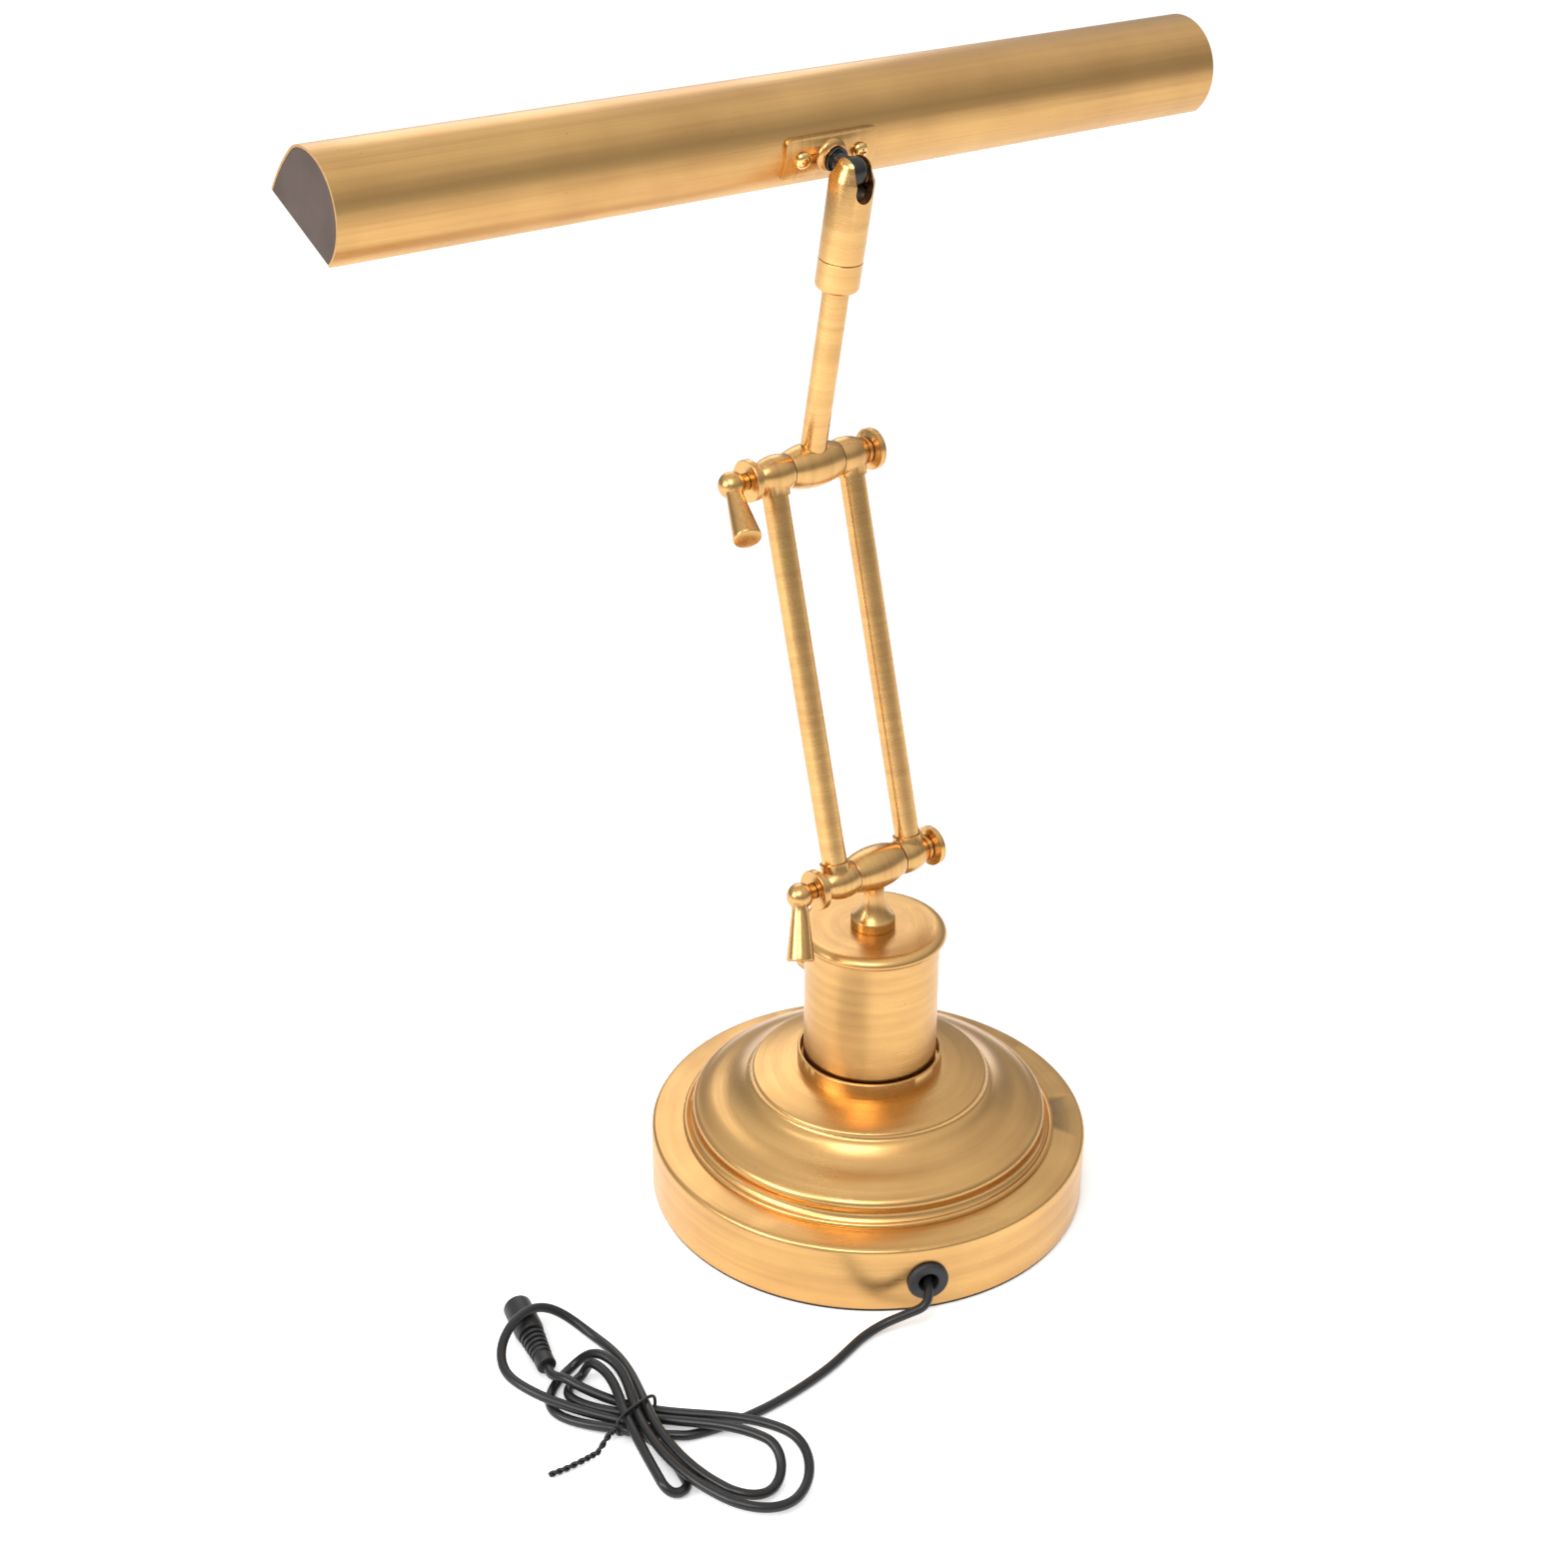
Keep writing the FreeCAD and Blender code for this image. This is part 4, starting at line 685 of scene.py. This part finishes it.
@dataclass
class Lead(SubAssembly):
    """The lead: a free stretch, the tied bow and the power jack. Sizes in millimetres."""

    radius: float = 1.8
    length: float = 933.0
    floor: float = 1.85
    route: tuple[Point, ...] = (
        (37.331, 80.792, 14.15),
        (40.24, 85.59, 13.45),
        (45.6, 89.6, 10.9),
        (51.4, 85.4, 7.4),
        (58.7, 80.9, 3.8),
        (67.9, 79.9, 1.85),
        (77.4, 82.5, 1.85),
        (87.6, 85.4, 1.85),
        (98.6, 87.2, 1.85),
        (110.0, 88.3, 1.85),
        (122.0, 88.6, 1.85),
        (133.8, 87.6, 1.85),
        (143.0, 85.9, 1.85),
    )
    tie_point: Point = (163.0, 66.0, 0.0)
    lane_step: float = 4.2
    lane_heights: tuple[float, float] = (3.4, 7.8)
    lane_turns: tuple[float, float] = (126.10, 252.67)
    lane_shifts: tuple[Point, Point] = ((0.61, -0.12, 0.0), (1.43, 3.01, 0.0))
    bow_end: Point = (155.55, 80.27, 1.85)
    bow_end_turn: float = 139.78
    jack_tail: Point = (174.6, 24.5, 5.7)
    jack_way: Point = (-0.26, -0.9656, 0.0)
    jack_hump: tuple[Point, float] = ((173.68, 37.05, 7.42), 102.66)
    turn_points: int = 7
    # Each loop: bearing, reach, width, tip shift, heights, side, and the lane it comes back to.
    loops: tuple[tuple, ...] = (
        (110.6, 69.73, 38.42, 1.93, (7.78, 3.44, 6.14), -1, (1, 1)),
        (288.2, 37.98, 26.39, -7.04, (11.42, 1.84, 2.10), 1, (0, 3)),
        (76.2, 39.47, 9.38, -0.26, (2.30, 2.46, 5.50), -1, (1, 0)),
        (283.2, 32.35, 13.05, -3.51, (10.20, 2.09, 2.79), 1, (0, 1)),
        (108.3, 59.81, 24.53, 0.58, (9.50, 2.81, 5.31), -1, (1, 2)),
        (278.2, 64.53, 41.49, -3.83, (1.84, 13.47, 7.78), 1, (0, 2)),
    )
    lead_in: float = 4.5
    short_chord: float = 6.0
    tie_wire: float = 0.6
    tie_under: float = 0.1
    tie_over: float = 0.2
    tie_beside: float = 2.25
    tie_squareness: float = 0.6
    tie_points: int = 28
    tail_gap: float = 0.4
    tail_out: float = 3.0
    tail_points: tuple[Point, ...] = (
        (184.0, 71.5, 3.4),
        (189.0, 70.6, 2.3),
        (196.0, 69.6, 1.5),
        (202.6, 68.6, 1.5),
    )
    tail_steps: int = 45
    twist: float = 0.85
    twist_radius: float = 0.62

    def _lane(self, level: int, number: int) -> tuple[Vector, Vector]:
        """Where a strand goes through the tie.

        Args:
            level: 0 for the low lanes and 1 for the high ones.
            number: The lane's number across the tie.

        Returns:
            The point and the way the strand runs there.
        """
        way = level_way(self.lane_turns[level])
        side = Vector((way.y, -way.x, 0.0))
        offset = (number - (1.5, 1.0)[level]) * self.lane_step
        lift = Vector((0.0, 0.0, self.lane_heights[level]))
        return Vector(self.tie_point) + Vector(self.lane_shifts[level]) + side * offset + lift, way

    def _loop(self, row: tuple) -> list[tuple[Vector, Vector]]:
        """The three nodes of a loop.

        Args:
            row: The loop's row.

        Returns:
            Its nodes on the way out, at the tip and on the way back.
        """
        bearing, reach, width, shift, heights, side, _ = row
        out = level_way(bearing)
        across = Vector((-out.y, out.x, 0.0)) * side
        tie = Vector(self.tie_point)
        middle = tie + out * (reach - width / 2)
        lift = [Vector((0.0, 0.0, height)) for height in heights]
        return [
            (middle - across * (width / 2) + lift[0], out),
            (tie + out * reach + across * shift + lift[1], across),
            (middle + across * (width / 2) + lift[2], -out),
        ]

    def _bow_nodes(self) -> list[tuple[Vector, Vector]]:
        """The nodes of the bow, from the jack to the free stretch.

        Returns:
            Points and ways.
        """
        tail, away = Vector(self.jack_tail), -Vector(self.jack_way).normalized()
        hump, hump_turn = self.jack_hump
        nodes = [(tail, away), (tail + away * 2 * self.radius, away), (Vector(hump), level_way(hump_turn))]
        nodes.append(self._lane(0, 0))
        for row in self.loops:
            nodes += self._loop(row)
            nodes.append(self._lane(*row[-1]))
        end, way = Vector(self.bow_end), level_way(self.bow_end_turn)
        return [*nodes, (end - way * 2 * self.radius, way), (end, way)]

    def _bow_points(self) -> list[Vector]:
        """Points round every turn of the bow, from the jack to the free stretch.

        Returns:
            The points.
        """
        points = []
        nodes = self._bow_nodes()
        for (start, start_way), (end, end_way) in zip(nodes, nodes[1:]):
            chord = end - start
            bend = (start_way.angle(chord) + end_way.angle(chord)) / 2
            pull = chord.length / math.cos(bend / 2) ** 2
            count = 2 if chord.length < self.short_chord else self.turn_points
            for index in range(count):
                at = index / count
                points.append(
                    start * (2 * at**3 - 3 * at**2 + 1)
                    + start_way * pull * (at**3 - 2 * at**2 + at)
                    + end * (3 * at**2 - 2 * at**3)
                    + end_way * pull * (at**3 - at**2)
                )
        return [*points, nodes[-1][0]]

    @staticmethod
    def _spline(curve: bpy.types.Curve, points: list[Vector]) -> None:
        """Add an open NURBS spline.

        Args:
            curve: The curve it goes into.
            points: Its control points, in millimetres.
        """
        spline = curve.splines.new("NURBS")
        spline.points.add(len(points) - 1)
        for control, point in zip(spline.points, points):
            control.co = (*(part * MM for part in point), 1.0)
        spline.order_u = 3
        spline.use_endpoint_u = True
        spline.resolution_u = 6

    def _curve(self, name: str, radius: float) -> bpy.types.Curve:
        """Start a round curve.

        Args:
            name: Its name.
            radius: Its radius in millimetres.

        Returns:
            The curve.
        """
        curve = bpy.data.curves.new(name, "CURVE")
        curve.dimensions = "3D"
        curve.bevel_depth = radius * MM
        curve.bevel_resolution = 5
        curve.use_fill_caps = True
        curve.materials.append(self.finishes.get(BLACK_LEAD))
        return curve

    def _lay(self) -> bpy.types.Object:
        """Lay the lead from the grommet through the bow to the jack.

        Returns:
            The lead.
        """
        curve = self._curve("black_lead", self.radius)
        bow = self._bow_points()
        bow.reverse()
        lead_in = Vector(self.bow_end) + level_way(self.bow_end_turn) * self.lead_in
        self._spline(curve, [*(Vector(point) for point in self.route), lead_in, *bow])
        piece = bpy.data.objects.new("black_lead", curve)
        bpy.context.scene.collection.objects.link(piece)
        return piece

    def _tie_ring(self) -> tuple[list[Vector], Vector, Vector]:
        """The wire ring round the waist of the bow.

        Returns:
            Its points, the point where its tail starts and the way the tail leaves.
        """
        waist = level_way((self.lane_turns[0] + self.lane_turns[1] + 180.0) / 2.0)
        across = Vector((waist.y, -waist.x, 0.0))
        tie = Vector(self.tie_point)
        strands = [self._lane(0, i)[0] for i in range(4)] + [self._lane(1, i)[0] for i in range(3)]
        offsets = [(point - tie).dot(across) for point in strands]
        low = self.tie_wire + self.tie_under
        top = self.lane_heights[1] + self.radius + self.tie_wire + self.tie_over
        left, right = min(offsets) - self.radius, max(offsets) + self.radius
        middle, half_rise = (low + top) / 2, (top - low) / 2
        centre, half = (left + right) / 2, (right - left) / 2 + self.tie_beside
        ring = []
        for index in range(self.tie_points + 1):
            turn = 2 * math.pi * index / self.tie_points
            flat = math.copysign(abs(math.cos(turn)) ** self.tie_squareness, math.cos(turn))
            rise = math.copysign(abs(math.sin(turn)) ** self.tie_squareness, math.sin(turn))
            ring.append(tie + across * (centre + half * flat) + Vector((0, 0, middle + half_rise * rise)))
        start = tie + across * (centre - half - self.tail_gap) + Vector((0, 0, middle))
        return ring, start, -across

    def _tail_strand(self, spine: list[Vector], phase: float) -> list[Vector]:
        """One of the two wires that are twisted round each other.

        Args:
            spine: The points that the tail follows.
            phase: Where on its turn the wire starts.

        Returns:
            The wire's points.
        """
        strand = []
        for index in range(self.tail_steps + 1):
            at = index / self.tail_steps * (len(spine) - 1)
            here = min(int(at), len(spine) - 2)
            along = spine[here + 1] - spine[here]
            side = Vector((-along.y, along.x, 0.0)).normalized()
            spin = phase + index * self.twist
            swing = side * math.cos(spin) + Vector((0, 0, 1)) * math.sin(spin)
            strand.append(spine[here] + along * (at - here) + swing * self.twist_radius)
        return strand

    def _tie(self) -> bpy.types.Object:
        """Bend the wire tie round the waist of the bow and twist its ends together.

        Returns:
            The tie.
        """
        curve = self._curve("lead_tie", self.tie_wire)
        ring, start, away = self._tie_ring()
        self._spline(curve, ring)
        spine = [start, start + away * self.tail_out, *(Vector(point) for point in self.tail_points)]
        for phase in (0.0, math.pi):
            self._spline(curve, self._tail_strand(spine, phase))
        piece = bpy.data.objects.new("lead_tie", curve)
        bpy.context.scene.collection.objects.link(piece)
        return piece

    def build(self) -> None:
        """Lay the lead, tie it and dress the jack."""
        piece = self._lay()
        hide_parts("lead_cord", "lead_hank")
        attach(piece, "base")
        tie = self._tie()
        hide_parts("cord_tie")
        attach(tie, "base")
        jack = self.dress({"jack_housing": 0.25}, BLACK_JACK)
        jack += self.dress({"jack_sleeve": 0.0}, SCREW_BRASS)
        jack += self.dress({"jack_pin": 0.1}, PLAIN_STEEL)
        LOG.info("laid the lead")


@dataclass
class Studio:
    """The floor, the light and the camera. Sizes in metres."""

    floor_size: float = 9.0
    floor_drop: float = 0.0001
    floor_tone: float = 0.93
    floor_glow: float = 0.3
    # Each softbox: name, place, side and power in watts.
    softboxes: tuple[tuple, ...] = (
        ("key_softbox", (0.95, 0.75, 1.60), 0.9, 13.0),
        ("side_softbox", (1.5, -0.15, 0.9), 0.8, 13.0),
        ("front_softbox", (-0.6, -1.3, 1.1), 1.0, 4.0),
    )
    lit_point: Point = (0.03, 0.0, 0.2)
    # The sky's brightness from straight down, at 0, to straight up, at 1.
    sky: tuple[tuple[float, float], ...] = ((0.50, 0.42), (0.62, 0.35), (0.80, 0.75))
    sky_below: float = 0.80
    camera_place: Point = (0.53683, 0.62248, 0.60649)
    camera_angles: Point = (27.28, 38.31, 0.33)
    lens: float = 55.33
    sensor: float = 36.0

    def build(self) -> None:
        """Set up the studio."""
        self._floor()
        self._world()
        for row in self.softboxes:
            self._softbox(*row)
        self._camera()

    def _floor(self) -> None:
        """Lay the pale floor."""
        mesh = bpy.data.meshes.new("pale_floor")
        sculpt = bmesh.new()
        bmesh.ops.create_grid(sculpt, x_segments=4, y_segments=4, size=self.floor_size / 2)
        sculpt.to_mesh(mesh)
        sculpt.free()
        floor = bpy.data.objects.new("pale_floor", mesh)
        floor.location.z = -self.floor_drop
        bpy.context.scene.collection.objects.link(floor)
        material = bpy.data.materials.new("pale_floor")
        material.use_nodes = True
        shader = material.node_tree.nodes["Principled BSDF"]
        shader.inputs["Base Color"].default_value = (*[self.floor_tone] * 3, 1.0)
        shader.inputs["Roughness"].default_value = 0.9
        shader.inputs["Specular IOR Level"].default_value = 0.1
        shader.inputs["Emission Color"].default_value = (1.0, 1.0, 1.0, 1.0)
        shader.inputs["Emission Strength"].default_value = self.floor_glow
        mesh.materials.append(material)

    def _world(self) -> None:
        """Soft daylight from above, with a darker band at the horizon for the brass to show."""
        world = bpy.data.worlds.new("studio_air")
        bpy.context.scene.world = world
        world.use_nodes = True
        graph = Graph(world.node_tree)
        way = graph.add("TexCoord").outputs["Generated"]
        height = graph.add("SeparateXYZ", {0: way}).outputs[2]
        ramp = graph.add("ValToRGB", {0: graph.remap(height, -1.0, 1.0, 0.0, 1.0)})
        stops = ramp.color_ramp.elements
        stops[0].position, stops[0].color = 0.0, (*[self.sky_below] * 3, 1.0)
        stops[1].position, stops[1].color = 1.0, (1.0, 1.0, 1.0, 1.0)
        for place, level in self.sky:
            stop = stops.new(place)
            stop.color = (level, level, level, 1.0)
        seen = graph.add("LightPath").outputs["Is Camera Ray"]
        tone = graph.blend(seen, ramp.outputs[0], (1.0, 1.0, 1.0))
        background = world.node_tree.nodes["Background"]
        world.node_tree.links.new(tone, background.inputs["Color"])
        background.inputs["Strength"].default_value = 1.0

    def _softbox(self, name: str, place: Point, size: float, power: float) -> None:
        """Hang a softbox that faces the lamp.

        Args:
            name: Its name.
            place: Where it hangs, in metres.
            size: The length of its side.
            power: Its power in watts.
        """
        light = bpy.data.lights.new(name, "AREA")
        light.size, light.energy = size, power
        rig = bpy.data.objects.new(name, light)
        rig.location = place
        aim = Vector(self.lit_point) - Vector(place)
        rig.rotation_euler = aim.to_track_quat("-Z", "Y").to_euler()
        bpy.context.scene.collection.objects.link(rig)

    def _camera(self) -> None:
        """Stand the camera where the photograph was taken from."""
        tilt, turn, roll = (math.radians(angle) for angle in self.camera_angles)
        back = Vector((math.sin(turn) * math.cos(tilt), math.cos(turn) * math.cos(tilt), math.sin(tilt)))
        right = Vector((0.0, 0.0, 1.0)).cross(back).normalized()
        up = back.cross(right)
        across = right * math.cos(roll) + up * math.sin(roll)
        upward = up * math.cos(roll) - right * math.sin(roll)
        data = bpy.data.cameras.new("photo_camera")
        data.lens, data.sensor_width = self.lens, self.sensor
        data.clip_start, data.clip_end = 0.02, 60.0
        camera = bpy.data.objects.new("photo_camera", data)
        turned = Matrix((across, upward, back)).transposed().to_4x4()
        camera.matrix_world = Matrix.Translation(self.camera_place) @ turned
        bpy.context.scene.collection.objects.link(camera)
        bpy.context.scene.camera = camera


def main() -> None:
    """Build the lamp and its studio."""
    logging.basicConfig(level=logging.INFO, format="%(name)s: %(message)s")
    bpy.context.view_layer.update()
    bpy.context.scene.view_settings.view_transform = "Standard"
    Studio().build()
    finishes = FinishShelf()
    for maker in (Lead, Base, Post, Arm, Head, Shade):
        maker(finishes).build()
        LOG.info("built %s", maker.__name__)


if __name__ == "__main__":
    main()
